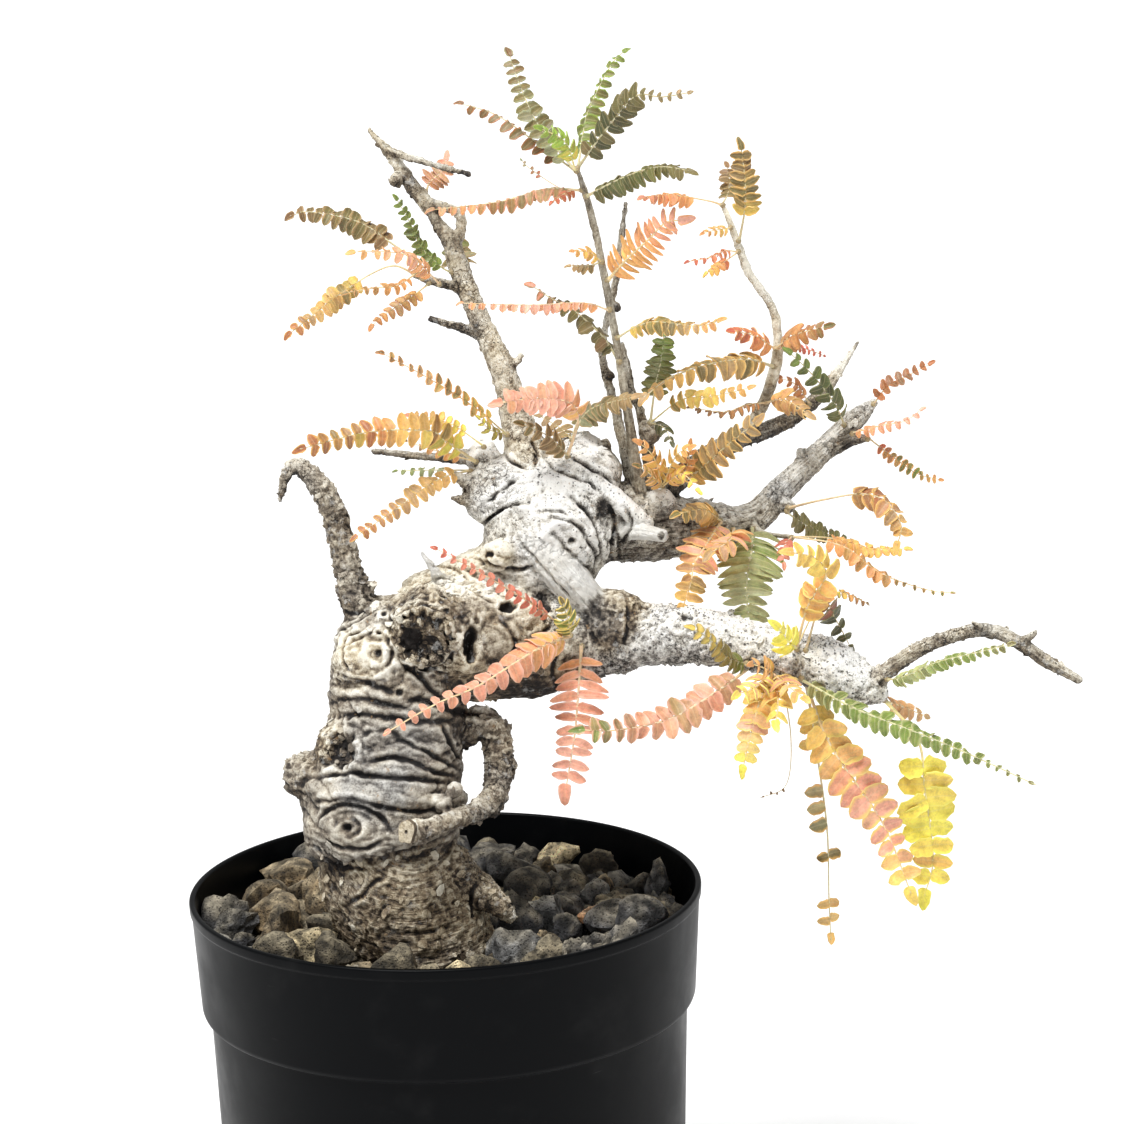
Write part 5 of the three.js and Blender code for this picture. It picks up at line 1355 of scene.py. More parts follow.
def makeGravel():
    random = np.random.RandomState(gravelMake["seed"])
    placed, details = placeStones(random)
    templates = {detail: ballTemplate(detail) for detail in set(details)}
    points, faces, tints, first = [], [], [], 0
    x, y = inView(placed[:, :3] * mm)
    shades = [gravelMake["shades"][k] for k in random.randint(len(gravelMake["shades"]), size=len(placed))]
    for atX, atY, around, shade in gravelMake["named"]:
        far = np.hypot(x - atX, y - atY) - placed[:, 2] * 3
        if around < 10:
            shades[far.argmin()] = shade
            continue
        for k in np.flatnonzero(np.hypot(x - atX, y - atY) < around):
            shades[k] = shade
    for (x, y, height, radius), detail, shade in zip(placed, details, shades):
        balls, ballFaces = templates[detail]
        flats = unit(random.normal(size=(gravelMake["flats"], 3)))
        depth = 0.36 + 0.28 * random.random_sample(gravelMake["flats"])
        reach = np.minimum(0.86, (depth / np.maximum(balls @ flats.T, 0.05)).min(axis=1))
        stretch = 0.82 + 0.36 * random.random_sample(3)
        points.append(balls * reach[:, None] * stretch * radius * gravelMake["swell"] + [x, y, height])
        faces.append(ballFaces + first)
        first += len(balls)
        tint = np.array(stoneColours[shade]) * (0.75 + 0.5 * random.random_sample())
        tints.append(np.tile([*tint, 1], (len(balls), 1)))
    points = np.vstack(points)
    faces = np.vstack(faces)
    mesh = makeMesh("lavaStones", points * mm, faces)
    normals = np.empty(len(points) * 3)
    mesh.vertices.foreach_get("normal", normals)
    first, second, own = cellNoise(points, 1.7, 71)
    pits = np.exp(-((first / 0.28) ** 2))
    rough = 0.3 * softNoise(points, 3.2, 72) + 0.75 * ridgeNoise(points, 2.6, 73)
    rough = rough + 0.35 * softNoise(points, 1.3, 76) - 0.5 * pits
    points = points + normals.reshape(-1, 3) * rough[:, None]
    far = np.hypot(points[:, 0], points[:, 1])
    wall = np.interp(points[:, 2], [100.5, 130], [gravelWall(100.5), gravelWall(130)])
    points[:, :2] *= np.minimum(1, wall / np.maximum(far, 1))[:, None]
    mesh.vertices.foreach_set("co", (points * mm).ravel())
    mesh.update()
    mesh.vertices.foreach_get("normal", normals)
    tints = np.vstack(tints)
    dusty = smoothStep(0.2, 0.95, normals[2::3] + 0.5 * softNoise(points, 4, 75)) * gravelMake["dust"]
    tints[:, :3] += (np.array(stoneColours["dust"]) - tints[:, :3]) * dusty[:, None]
    # painted light and shade: darker in the stones' dips and on faces turned down, lighter on faces turned up
    tints[:, :3] *= (np.clip(1.1 + 1.8 * rough, 0.3, 2.4) * (0.95 + 0.45 * normals[2::3]))[:, None]
    storeField(mesh, "tint", tints)
    stones = addObject("lavaStones", mesh, [stoneMaterial])
    mesh.set_sharp_from_angle(angle=math.radians(gravelMake["sharp"]))
    foot, level = potMake["height"] - potMake["band"], gravelMake["soil"]
    base, bodyTop, bandFoot = (potMake[word] - 2.4 for word in ("base", "bodyTop", "bandFoot"))
    soilPoints, soilFaces = lathe([
        (0, 2.6), (base, 2.6), (bodyTop, foot), (bandFoot, foot + 4.4), (gravelWall(113) - 0.2, level - 1),
        *[(r, level) for r in range(68, 0, -3)], (0, level),
    ], 96)
    top = soilPoints[:, 2] > level - 0.5
    soilPoints[top, 2] += 0.7 * softNoise(soilPoints[top], 6, 74)
    soilMesh = makeMesh("pottingSoil", soilPoints * mm, soilFaces)
    storeField(soilMesh, "tint", np.tile(gravelMake["soilColour"], (len(soilPoints), 1)))
    ground = addObject("pottingSoil", soilMesh, [stoneMaterial])
    for piece in (stones, ground):
        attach(piece, "root")
        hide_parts("gravel")
    print("gravel placed:", len(placed), "stones,", len(faces), "faces")


makeGravel()

# Leaves
leafColours = {
    "olive": (0.19, 0.155, 0.05),
    "moss": (0.13, 0.145, 0.036),
    "green": (0.19, 0.27, 0.05),
    "bright": (0.3, 0.46, 0.06),
    "dark": (0.065, 0.072, 0.024),
    "grey": (0.34, 0.36, 0.2),
    "sage": (0.5, 0.52, 0.24),
    "tan": (0.5, 0.33, 0.16),
    "brown": (0.24, 0.13, 0.055),
    "rust": (0.45, 0.16, 0.06),
    "orange": (0.8, 0.36, 0.12),
    "amber": (0.85, 0.5, 0.14),
    "gold": (0.92, 0.66, 0.14),
    "yellow": (0.98, 0.86, 0.12),
    "salmon": (0.82, 0.34, 0.22),
    "pink": (0.88, 0.46, 0.34),
    "red": (0.62, 0.14, 0.09),
    "cream": (0.95, 0.85, 0.55),
}

def frond(rib, size, pose, tints, edge, **more):
    return {"rib": rib, "size": size, "pose": pose, "tints": tints.split(), "edge": edge, **more}


def sprayOf(foliage, bud, *fronds):
    return {"slot": "foliage_" + foliage, "bud": bud, "fronds": fronds}


# The compound leaves, or fronds, of each bud, whose place is in the front view. A frond has its rib beyond
# the bud, as x, y and depth; the reach of its leaflets in view units, and its pairs of leaflets; the degrees
# that its face turns up from the front, and that its leaflets droop; its colours from foot to tip; and the
# colour of its edges. More: the bare share of its rib, where its leaflets turn small (tail), how wide they
# are (plump, slim), how much its tip narrows (tip), how long its end leaflet is (last), how its leaflets arch
# (droop), and whether some are missing (sparse)
leafSprays = {
    "leafCrownLeft": sprayOf("olive", [574, 172, -8],
        frond([[539, 126, -5], [519, 83, 2], [509, 53, 8]], [13, 12], [10, 12], "grey olive olive brown",
            "grey", last=1.1),
        frond([[546, 150, 2], [498, 116, 9], [459, 103, 14]], [12, 8], [55, 35], "brown olive brown",
            "rust", bare=0.2),
        frond([[565, 142, -18], [540, 128, -26]], [12, 6], [25, 20], "gold bright bright", "bright",
            bare=0.2, plump=1.5)),
    "leafCrownTop": sprayOf("green", [579, 165, -5],
        frond([[586, 119, 4], [598, 90, 8], [613, 62, 10], [626, 50, 12]], [12, 11], [40, 25],
            "green olive green", "bright", bare=0.15),
        frond([[609, 126, -12], [636, 96, -19], [662, 97, -25], [692, 92, -30]], [15, 13], [15, 10],
            "dark dark olive tan", "olive", tail=0.6)),
    "leafCrownRight": sprayOf("green", [588, 197, -9],
        frond([[610, 184, -12], [641, 171, -17], [665, 167, -22], [689, 171, -26]], [15, 13], [45, 35],
            "dark moss olive", "olive")),
    "leafCrownLong": sprayOf("orange", [582, 190, -6],
        frond([[546, 189, 0], [498, 202, 3], [430, 210, 4]], [12, 14], [70, 45],
            "olive tan olive orange tan", "salmon", bare=0.08),
        frond([[568, 192, -10], [552, 202, -16]], [8, 4], [50, 30], "rust red", "rust", bare=0.2),
        frond([[560, 188, 12], [528, 167, 18], [520, 158, 20]], [4, 3], [20, 0], "red grey", "grey",
            bare=0.75)),
    "leafShootRight": sprayOf("salmon", [608, 280, -5],
        frond([[625, 261, -10], [649, 239, -15], [665, 223, -17], [681, 220, -18]], [20, 13], [12, 4],
            "orange amber orange salmon pink", "orange", bare=0.08, slim=0.6)),
    "leafShootSmall": sprayOf("yellow", [602, 262, -6],
        frond([[590, 253, -10], [573, 251, -15]], [8, 4], [45, 20], "gold orange", "orange", bare=0.15),
        frond([[588, 266, -4], [570, 266, -3]], [8, 4], [50, 30], "olive tan", "tan", bare=0.3)),
    "leafShootLeft": sprayOf("orange", [609, 311, -5],
        frond([[583, 303, -8], [531, 305, -14], [459, 303, -20]], [9, 13], [80, 50], "orange pink orange",
            "pink", bare=0.08)),
    "leafShootLow": sprayOf("olive", [619, 362, -3],
        frond([[603, 337, 6], [572, 309, 14], [552, 299, 20], [531, 285, 24]], [14, 10], [35, 35],
            "dark olive olive salmon", "olive")),
    "leafShootArch": sprayOf("olive", [618, 338, -4],
        frond([[634, 328, -8], [655, 322, -14], [698, 326, -22], [721, 320, -26]], [12, 12], [45, 28],
            "gold olive olive tan orange", "amber", bare=0.15)),
    "leafKnob": sprayOf("green", [652, 420, 2],
        frond([[655, 388, 6], [661, 361, 10], [664, 334, 14]], [15, 10], [10, 10], "olive moss green",
            "moss", bare=0.3),
        frond([[681, 400, -2], [707, 397, -6], [729, 393, -10], [751, 387, -12]], [10, 9], [20, 0],
            "olive gold orange", "amber", bare=0.25),
        frond([[664, 428, -6], [672, 443, -14]], [9, 4], [30, 30], "dark", "dark", bare=0.15)),
    "leafTwigTop": sprayOf("green", [741, 240, 27],
        frond([[745, 208, 24], [745, 181, 23], [741, 147, 24]], [15, 9], [15, 8],
            "gold olive olive brown olive", "amber", bare=0.3)),
    "leafTwigTip": sprayOf("orange", [722, 205, 27],
        frond([[729, 190, 34], [727, 166, 40]], [11, 6], [20, 8], "olive brown", "tan", bare=0.3),
        frond([[709, 201, 26], [671, 195, 22], [643, 197, 16]], [11, 8], [60, 40], "orange salmon",
            "orange", bare=0.35)),
    "leafTwigSmall": sprayOf("yellow", [730, 228, 27],
        frond([[716, 230, 18], [703, 233, 13]], [7, 4], [30, 20], "gold orange", "orange", bare=0.15)),
    "leafTwigLow": sprayOf("salmon", [738, 252, 28],
        frond([[725, 251, 20], [711, 257, 14], [687, 262, 10]], [7, 6], [50, 30], "orange red", "red",
            bare=0.25),
        frond([[720, 265, 26], [707, 273, 26]], [8, 4], [40, 20], "red gold", "orange", bare=0.4)),
    "leafTwigBroad": sprayOf("olive", [772, 366, 28],
        frond([[750, 360, 18], [715, 363, 8], [672, 377, 0], [644, 397, -5]], [17, 12], [40, 30],
            "amber olive tan olive amber tan", "amber", bare=0.12)),
    "leafTwigMiddle": sprayOf("orange", [775, 350, 28],
        frond([[795, 335, 22], [826, 327, 16]], [14, 6], [35, 20], "tan orange olive", "rust", bare=0.15),
        frond([[755, 336, 22], [733, 331, 16]], [13, 5], [35, 20], "orange red", "orange", bare=0.15),
        frond([[790, 348, 26], [806, 349, 31], [825, 356, 36]], [5, 5], [30, 10], "red", "red", bare=0.35)),
    "leafTwigFoot": sprayOf("orange", [767, 403, 25],
        frond([[785, 400, 16], [807, 413, 8]], [14, 6], [15, 25], "orange tan", "amber", bare=0.2,
            droop=0.5),
        frond([[746, 405, 14], [724, 412, 6], [689, 407, -2]], [8, 8], [60, 40], "orange brown", "brown",
            bare=0.15)),
    "leafUpperRound": sprayOf("green", [846, 420, 24],
        frond([[836, 406, 18], [824, 389, 14], [809, 371, 12], [789, 352, 10]], [13, 8], [20, 10],
            "moss dark green", "moss", bare=0.12, plump=1.2)),
    "leafBackRust": sprayOf("orange", [812, 402, 38],
        frond([[795, 384, 32], [774, 377, 30]], [8, 5], [30, 15], "orange rust", "rust", bare=0.2)),
    "leafUpperTip": sprayOf("salmon", [874, 404, 31],
        frond([[886, 388, 30], [905, 377, 30], [930, 364, 30]], [9.5, 7], [40, -30], "rust brown rust",
            "rust")),
    "leafUpperThin": sprayOf("salmon", [852, 430, 25],
        frond([[884, 425, 17], [905, 421, 14], [922, 409, 14]], [8, 8], [50, 20], "orange pink", "salmon",
            bare=0.05)),
    "leafUpperFork": sprayOf("salmon", [868, 438, 24],
        frond([[880, 447, 22], [900, 462, 20], [918, 474, 20], [941, 480, 22]], [7, 10], [20, 0],
            "red olive green orange", "orange", bare=0.15)),
    "leafUpperCurl": sprayOf("orange", [791, 508, 12],
        frond([[822, 500, 2], [862, 494, -6], [886, 502, -10], [901, 525, -14], [897, 546, -16]], [16, 7],
            [30, 30], "brown rust tan amber", "amber", bare=0.5)),
    "leafUpperOlive": sprayOf("olive", [786, 514, 13],
        frond([[806, 525, 20], [830, 535, 24], [852, 541, 26]], [11, 10], [30, 10], "olive moss", "olive",
            bare=0.12)),
    "leafStemRight": sprayOf("yellow", [794, 538, -2],
        frond([[842, 546, -6], [880, 573, -8], [928, 590, -10], [956, 593, -12]], [11, 14], [50, 30],
            "orange orange olive green", "orange", bare=0.2, tail=0.55),
        frond([[830, 538, 8], [868, 548, 12], [908, 549, 14]], [11, 10], [50, 20], "orange gold", "orange",
            bare=0.4),
        frond([[784, 546, -8], [784, 564, -12]], [9, 4], [20, 10], "red salmon", "red", bare=0.15)),
    "leafCollarOlive": sprayOf("olive", [690, 486, 6],
        frond([[704, 466, -4], [723, 449, -10], [757, 421, -18]], [17, 9], [10, 5],
            "amber olive tan olive tan", "amber", bare=0.15),
        frond([[688, 462, -2], [690, 446, -6]], [11, 4], [20, 20], "orange", "orange", bare=0.2)),
    "leafCollarYellow": sprayOf("yellow", [664, 480, 2],
        frond([[654, 458, -10], [640, 443, -16]], [12, 5], [20, 25], "gold orange", "orange", bare=0.15),
        frond([[682, 474, -12], [698, 490, -18]], [10, 5], [20, 25], "orange yellow", "orange", bare=0.2),
        frond([[676, 456, -10], [690, 448, -16]], [12, 5], [20, 15], "gold amber orange", "amber"),
        frond([[650, 474, -12], [638, 466, -16]], [10, 4], [30, 15], "amber olive", "orange")),
    "leafLimbBroad": sprayOf("orange", [724, 524, 4],
        frond([[706, 545, -8], [694, 565, -12], [691, 583, -14], [683, 607, -15]], [22, 11], [15, 15],
            "pink orange salmon olive amber", "amber", slim=0.8),
        frond([[704, 510, -4], [678, 514, -10]], [14, 8], [40, 25], "olive amber tan olive", "amber")),
    "leafLimbGreen": sprayOf("green", [748, 528, 6],
        frond([[752, 548, -4], [747, 581, -10], [748, 626, -14]], [31, 13], [5, 6],
            "sage green sage grey sage", "sage", bare=0.12, slim=0.92)),
    "leafLimbSalmon": sprayOf("salmon", [740, 530, 4],
        frond([[730, 540, -16], [711, 553, -24]], [19, 5], [30, 20], "orange pink tan", "amber", bare=0.3)),
    "leafLowerArch": sprayOf("orange", [797, 648, -33],
        frond([[809, 604, -36], [826, 576, -38], [814, 558, -42], [790, 552, -46]], [18, 9], [25, 15],
            "amber orange gold amber", "gold", bare=0.25, plump=1.15),
        frond([[787, 640, -41], [778, 628, -45]], [17, 4], [20, 15], "yellow", "yellow", plump=1.4),
        frond([[818, 606, -27], [838, 592, -20], [869, 604, -14]], [7, 5], [50, 20], "yellow orange brown",
            "brown", bare=0.6)),
    "leafLowerHang": sprayOf("green", [806, 650, -32],
        frond([[822, 600, -22], [836, 620, -12], [851, 648, -8]], [14, 5], [15, 10], "red dark dark",
            "moss", bare=0.45)),
    "leafLowerOlive": sprayOf("olive", [746, 670, -27],
        frond([[727, 657, -38], [712, 641, -42], [692, 628, -44]], [12, 10], [30, 10], "green olive gold",
            "olive", plump=1.1)),
    "leafLowerLong": sprayOf("salmon", [744, 676, -24],
        frond([[722, 688, -28], [672, 718, -32], [617, 730, -36], [579, 730, -38]], [18, 13], [10, 8],
            "tan salmon tan salmon olive green", "pink", bare=0.08)),
    "leafLowerCluster": sprayOf("orange", [770, 678, -28],
        frond([[761, 699, -38], [752, 730, -42], [743, 768, -44]], [17, 9], [15, 12],
            "gold amber pink yellow", "gold", bare=0.15, plump=1.1),
        frond([[778, 700, -44], [776, 722, -54]], [18, 5], [20, 25], "pink amber yellow", "gold", plump=1.1),
        frond([[754, 688, -46], [738, 694, -54]], [15, 5], [25, 15], "amber pink gold", "yellow", plump=1.2),
        frond([[788, 686, -46], [804, 698, -54]], [15, 5], [30, 15], "pink salmon amber", "gold", plump=1.2),
        frond([[764, 668, -48], [752, 664, -58]], [13, 4], [30, 10], "gold orange", "orange", plump=1.2)),
    "leafLowerBare": sprayOf("olive", [782, 684, -26],
        frond([[791, 740, -18], [786, 785, -12], [760, 798, -8]], [3, 2], [20, 0], "brown", "brown",
            bare=0.85)),
    "leafLowerGreen": sprayOf("green", [800, 684, -34],
        frond([[856, 709, -46], [918, 733, -54], [971, 755, -58], [1036, 785, -62]], [14, 22], [25, 35],
            "olive green green green olive", "sage", bare=0.04, tail=0.8, plump=1.7)),
    "leafLowerDrop": sprayOf("yellow", [806, 690, -26],
        frond([[816, 746, -24], [827, 828, -22], [829, 899, -21], [831, 940, -20]], [16, 13], [20, 15],
            "gold olive grey olive tan amber", "amber", bare=0.12, sparse=1),
        frond([[831, 746, -35], [882, 822, -40], [911, 893, -44]], [24, 12], [10, 8],
            "gold amber salmon pink salmon gold", "gold", plump=0.95)),
    "leafLowerYellow": sprayOf("yellow", [884, 700, -32],
        frond([[918, 740, -30], [925, 790, -28], [933, 858, -26], [925, 895, -26]], [27, 8], [8, 8],
            "yellow gold yellow yellow amber yellow", "yellow", bare=0.34, plump=1),
        frond([[900, 706, -24], [926, 716, -18]], [12, 5], [30, 20], "orange tan", "tan", bare=0.2)),
    "leafEndGreen": sprayOf("green", [888, 680, -34],
        frond([[903, 677, -44], [938, 662, -50], [971, 654, -54], [1012, 644, -58]], [10, 18], [30, 40],
            "green sage green green olive", "sage", plump=1.9)),
    "leafFrontSalmon": sprayOf("salmon", [573, 640, -24],
        frond([[536, 650, -38], [478, 686, -46], [436, 704, -50], [384, 734, -52]], [19, 16], [15, 25],
            "amber orange salmon salmon salmon", "pink", bare=0.06, plump=1.35, tip=0.55),
        frond([[568, 620, -32], [562, 602, -38]], [13, 6], [20, 15], "olive green olive", "gold", plump=1.1)),
    "leafFrontHang": sprayOf("salmon", [578, 648, -24],
        frond([[578, 697, -28], [574, 740, -30], [566, 788, -32]], [25, 11], [6, 6],
            "orange salmon salmon pink salmon", "pink", bare=0.08, slim=0.62)),
    "leafFrontRed": sprayOf("salmon", [556, 620, -22],
        frond([[527, 601, -30], [486, 576, -34], [433, 547, -38]], [8.5, 13], [35, 15],
            "salmon red salmon red", "red", plump=1.25)),
    "leafLeftLong": sprayOf("orange", [474, 462, -2],
        frond([[444, 440, -9], [428, 431, -12], [369, 432, -16], [300, 449, -22]], [16, 15], [6, 5],
            "yellow olive amber rust brown rust", "amber", bare=0.12, slim=0.78),
        frond([[444, 453, -2], [405, 441, 0]], [7, 6], [60, 30], "orange olive", "orange", bare=0.2)),
    "leafLeftLow": sprayOf("orange", [470, 470, -2],
        frond([[438, 480, -8], [389, 514, -12], [354, 538, -16]], [11, 12], [20, 8], "amber tan rust",
            "amber", bare=0.12),
        frond([[438, 470, 4], [395, 471, 10]], [7, 5], [50, 20], "grey green", "grey", bare=0.35)),
    "leafLeftYellow": sprayOf("yellow", [484, 445, 0],
        frond([[455, 426, 0], [436, 419, 2], [408, 415, 4]], [8, 7], [15, 5], "yellow gold salmon",
            "orange", bare=0.25)),
    "leafLeftHigh": sprayOf("orange", [502, 436, -2],
        frond([[474, 407, -8], [428, 378, -14], [380, 352, -20]], [10, 12], [50, -20],
            "gold olive tan brown", "orange", bare=0.15),
        frond([[490, 430, -8], [479, 418, -12]], [8, 4], [30, 20], "olive yellow", "brown", bare=0.15)),
    "leafCrownPink": sprayOf("salmon", [566, 446, -5],
        frond([[578, 420, -12], [568, 402, -16], [530, 399, -20], [498, 403, -22]], [17, 10], [8, 4],
            "amber salmon pink salmon", "pink", bare=0.38, plump=1.1),
        frond([[548, 436, -14], [522, 424, -18]], [13, 6], [30, 15], "olive brown olive", "tan")),
    "leafCrownOlive": sprayOf("olive", [572, 440, 2],
        frond([[590, 410, 0], [634, 397, -8]], [15, 10], [40, 25], "grey olive tan", "tan", bare=0.2),
        frond([[580, 418, 6], [600, 420, 16]], [7, 4], [40, 20], "olive", "olive", bare=0.2),
        frond([[560, 428, 14], [540, 416, 20]], [12, 5], [30, 10], "olive tan", "tan")),
    "leafBranchFar": sprayOf("olive", [424, 281, 2],
        frond([[414, 262, 8], [391, 243, 12], [358, 222, 16], [310, 212, 20], [290, 216, 22]], [15, 11],
            [25, 20], "brown olive olive brown", "tan", bare=0.35)),
    "leafBranchGreen": sprayOf("green", [448, 274, 9],
        frond([[440, 266, 7], [421, 247, 6], [410, 223, 5], [396, 198, 3]], [9, 11], [30, 10],
            "green moss green", "green", bare=0.15)),
    "leafBranchOrange": sprayOf("salmon", [440, 286, 5],
        frond([[414, 259, -12], [390, 252, -16], [351, 252, -20]], [11, 9], [40, 25], "orange pink amber",
            "orange", bare=0.2)),
    "leafBranchLow": sprayOf("olive", [414, 276, 0],
        frond([[395, 266, 0], [373, 273, 0], [340, 294, 0], [318, 311, 0], [288, 335, -2]], [12, 10],
            [20, 15], "gold olive amber tan rust", "amber", bare=0.4),
        frond([[396, 286, -8], [373, 288, -12], [345, 293, -14]], [8, 7], [40, 20], "orange olive",
            "orange", bare=0.15)),
    "leafBranchCurl": sprayOf("orange", [428, 286, 4],
        frond([[406, 301, -2], [382, 316, -6], [372, 326, -8]], [10, 7], [35, 15], "amber tan orange",
            "rust", bare=0.2)),
    "leafBranchBack": sprayOf("green", [458, 270, 15],
        frond([[458, 256, 22], [457, 240, 26]], [17, 4], [10, 5], "tan grey green", "tan", bare=0.25)),
    "leafBranchTip": sprayOf("orange", [424, 192, 16],
        frond([[430, 182, 18], [442, 171, 20], [446, 159, 22]], [13, 7], [20, 8], "rust tan salmon", "pink",
            bare=0.2)),
}

leafMake = {
    # a leaflet's stations from foot to tip, and its width there
    "long": [0, 0.05, 0.16, 0.34, 0.54, 0.74, 0.9, 1.0],
    "wide": [0.5, 0.84, 1.0, 1.02, 0.95, 0.77, 0.5, 0.05],
    "across": [-1, -0.55, 0, 0.55, 1],
    "thickness": 0.32 * mm,
    "shade": 0.92,
    "overlap": 1.28,  # a leaflet's width as a share of the room it has along the rib
    "forward": 0.14,
    "vee": 0.3,
    "droop": 0.22,
    "ragged": 0.09,  # how uneven a leaflet's margin is
    "ribRadius": 0.3 * mm,
    "ribSides": 6,
    "bare": 0.1,  # the bare share of a rib, where its leaf names none
    "leafletsTo": 0.95,  # the share of a rib that the last pair stands at
    "budHeights": [-0.8, -0.3, 0.2, 0.6, 0.8],  # mm
    "budRadii": [0.9, 0.95, 0.85, 0.6, 0.3],
    "budColour": [0.2, 0.13, 0.06],
    "sharp": 60,
    "seed": 400,
}


def colourAt(names, share):
    palette = np.array([leafColours[name] for name in names]) * leafMake["shade"]
    at = np.clip(share, 0, 1) * (len(palette) - 1)
    low = min(int(at), len(palette) - 1)
    high = min(low + 1, len(palette) - 1)
    return palette[low] + (palette[high] - palette[low]) * (at - low)


class LeafShape:
    # gathers the points and faces of one spray, with what its material reads

    def __init__(self):
        self.points, self.faces, self.tint, self.edge, self.blade, self.rib = [], [], [], [], [], []
        self.count = 0

    def add(self, points, faces, tint, edge, blade, rib):
        self.points.append(points)
        self.faces += [tuple(i + self.count for i in face) for face in faces]
        self.count += len(points)
        for rows, value in ((self.tint, tint), (self.edge, edge)):
            rows.append(np.tile([*value, 1], (len(points), 1)) if np.ndim(value) == 1 else value)
        self.blade.append(blade)
        self.rib.append(np.full(len(points), rib, float))


def addRib(shape, line, radii, tint):
    along, side, across = lineFrames(line)
    turn = turns(leafMake["ribSides"])
    rings = [ringOf(line[i], radii[i], turn, across[i], side[i]) for i in range(len(line))]
    ends = [line[:1] - along[:1] * radii[0] * 0.7, line[-1:] + along[-1:] * radii[-1] * 0.7]
    points, faces = np.vstack(rings + ends), skinFaces(len(line), len(turn))
    shape.add(points, faces, tint, tint, np.tile([0.5, 0.5, 0], (len(points), 1)), 1.0)


def addLeaflet(shape, foot, out, forward, face, length, width, tint, edge, random, leaf):
    # one curved blade, thickened, standing out from the rib
    t = np.array(leafMake["long"])
    wide = np.array(leafMake["wide"]) * width * 0.5
    s = np.array(leafMake["across"])
    sweep = leafMake["forward"] * (0.7 + 0.6 * random.random_sample())
    droop = leaf.get("droop", leafMake["droop"]) * (0.4 + 1.2 * random.random_sample())
    vee = leafMake["vee"] * (0.3 + 1.4 * random.random_sample())
    twist = math.radians(random.normal() * 22)
    margin = 1 + leafMake["ragged"] * random.normal(size=(len(t), 2)).clip(-1.6, 1.6)
    grid, blade = [], []
    for i, share in enumerate(t):
        for j, lean in enumerate(s):
            reach = length * share
            halfWide = wide[i] * margin[i, int(lean > 0)]
            aside = lean * halfWide + sweep * length * share**1.8 * 0.55 - wide[i] * 0.12 * (1 - share)
            wave = 0.02 * length * math.sin(9 * share + 3 * lean)
            raised = abs(lean) * wide[i] * vee - droop * length * share**2 + wave
            turned = raised + aside * math.sin(twist) * share
            grid.append(foot + out * reach + forward * aside + face * turned)
            blade.append([share, lean, random.random_sample()])
    grid = np.array(grid)
    rows, columns = len(t), len(s)
    half = leafMake["thickness"] * 0.5
    normals = np.zeros_like(grid)
    faces = []
    for i in range(rows - 1):
        for j in range(columns - 1):
            a, d = i * columns + j, (i + 1) * columns + j
            b, c = a + 1, d + 1
            faces.append((a, b, c, d))
            normal = np.cross(grid[c] - grid[a], grid[d] - grid[b])
            for k in (a, b, c, d):
                normals[k] += normal
    normals = unit(normals)
    under = len(grid)
    points = np.vstack([grid + normals * half, grid - normals * half])
    closed = list(faces) + [tuple(k + under for k in reversed(quad)) for quad in faces]
    border = [*range(columns)] + [i * columns + columns - 1 for i in range(1, rows)]
    border += [(rows - 1) * columns + j for j in range(columns - 2, -1, -1)]
    border += [i * columns for i in range(rows - 2, 0, -1)]
    for a, b in zip(border, border[1:] + border[:1]):
        closed.append((b, a, a + under, b + under))
    blade = np.array(blade)
    shape.add(points, closed, tint, edge, np.vstack([blade, blade]), 0.0)


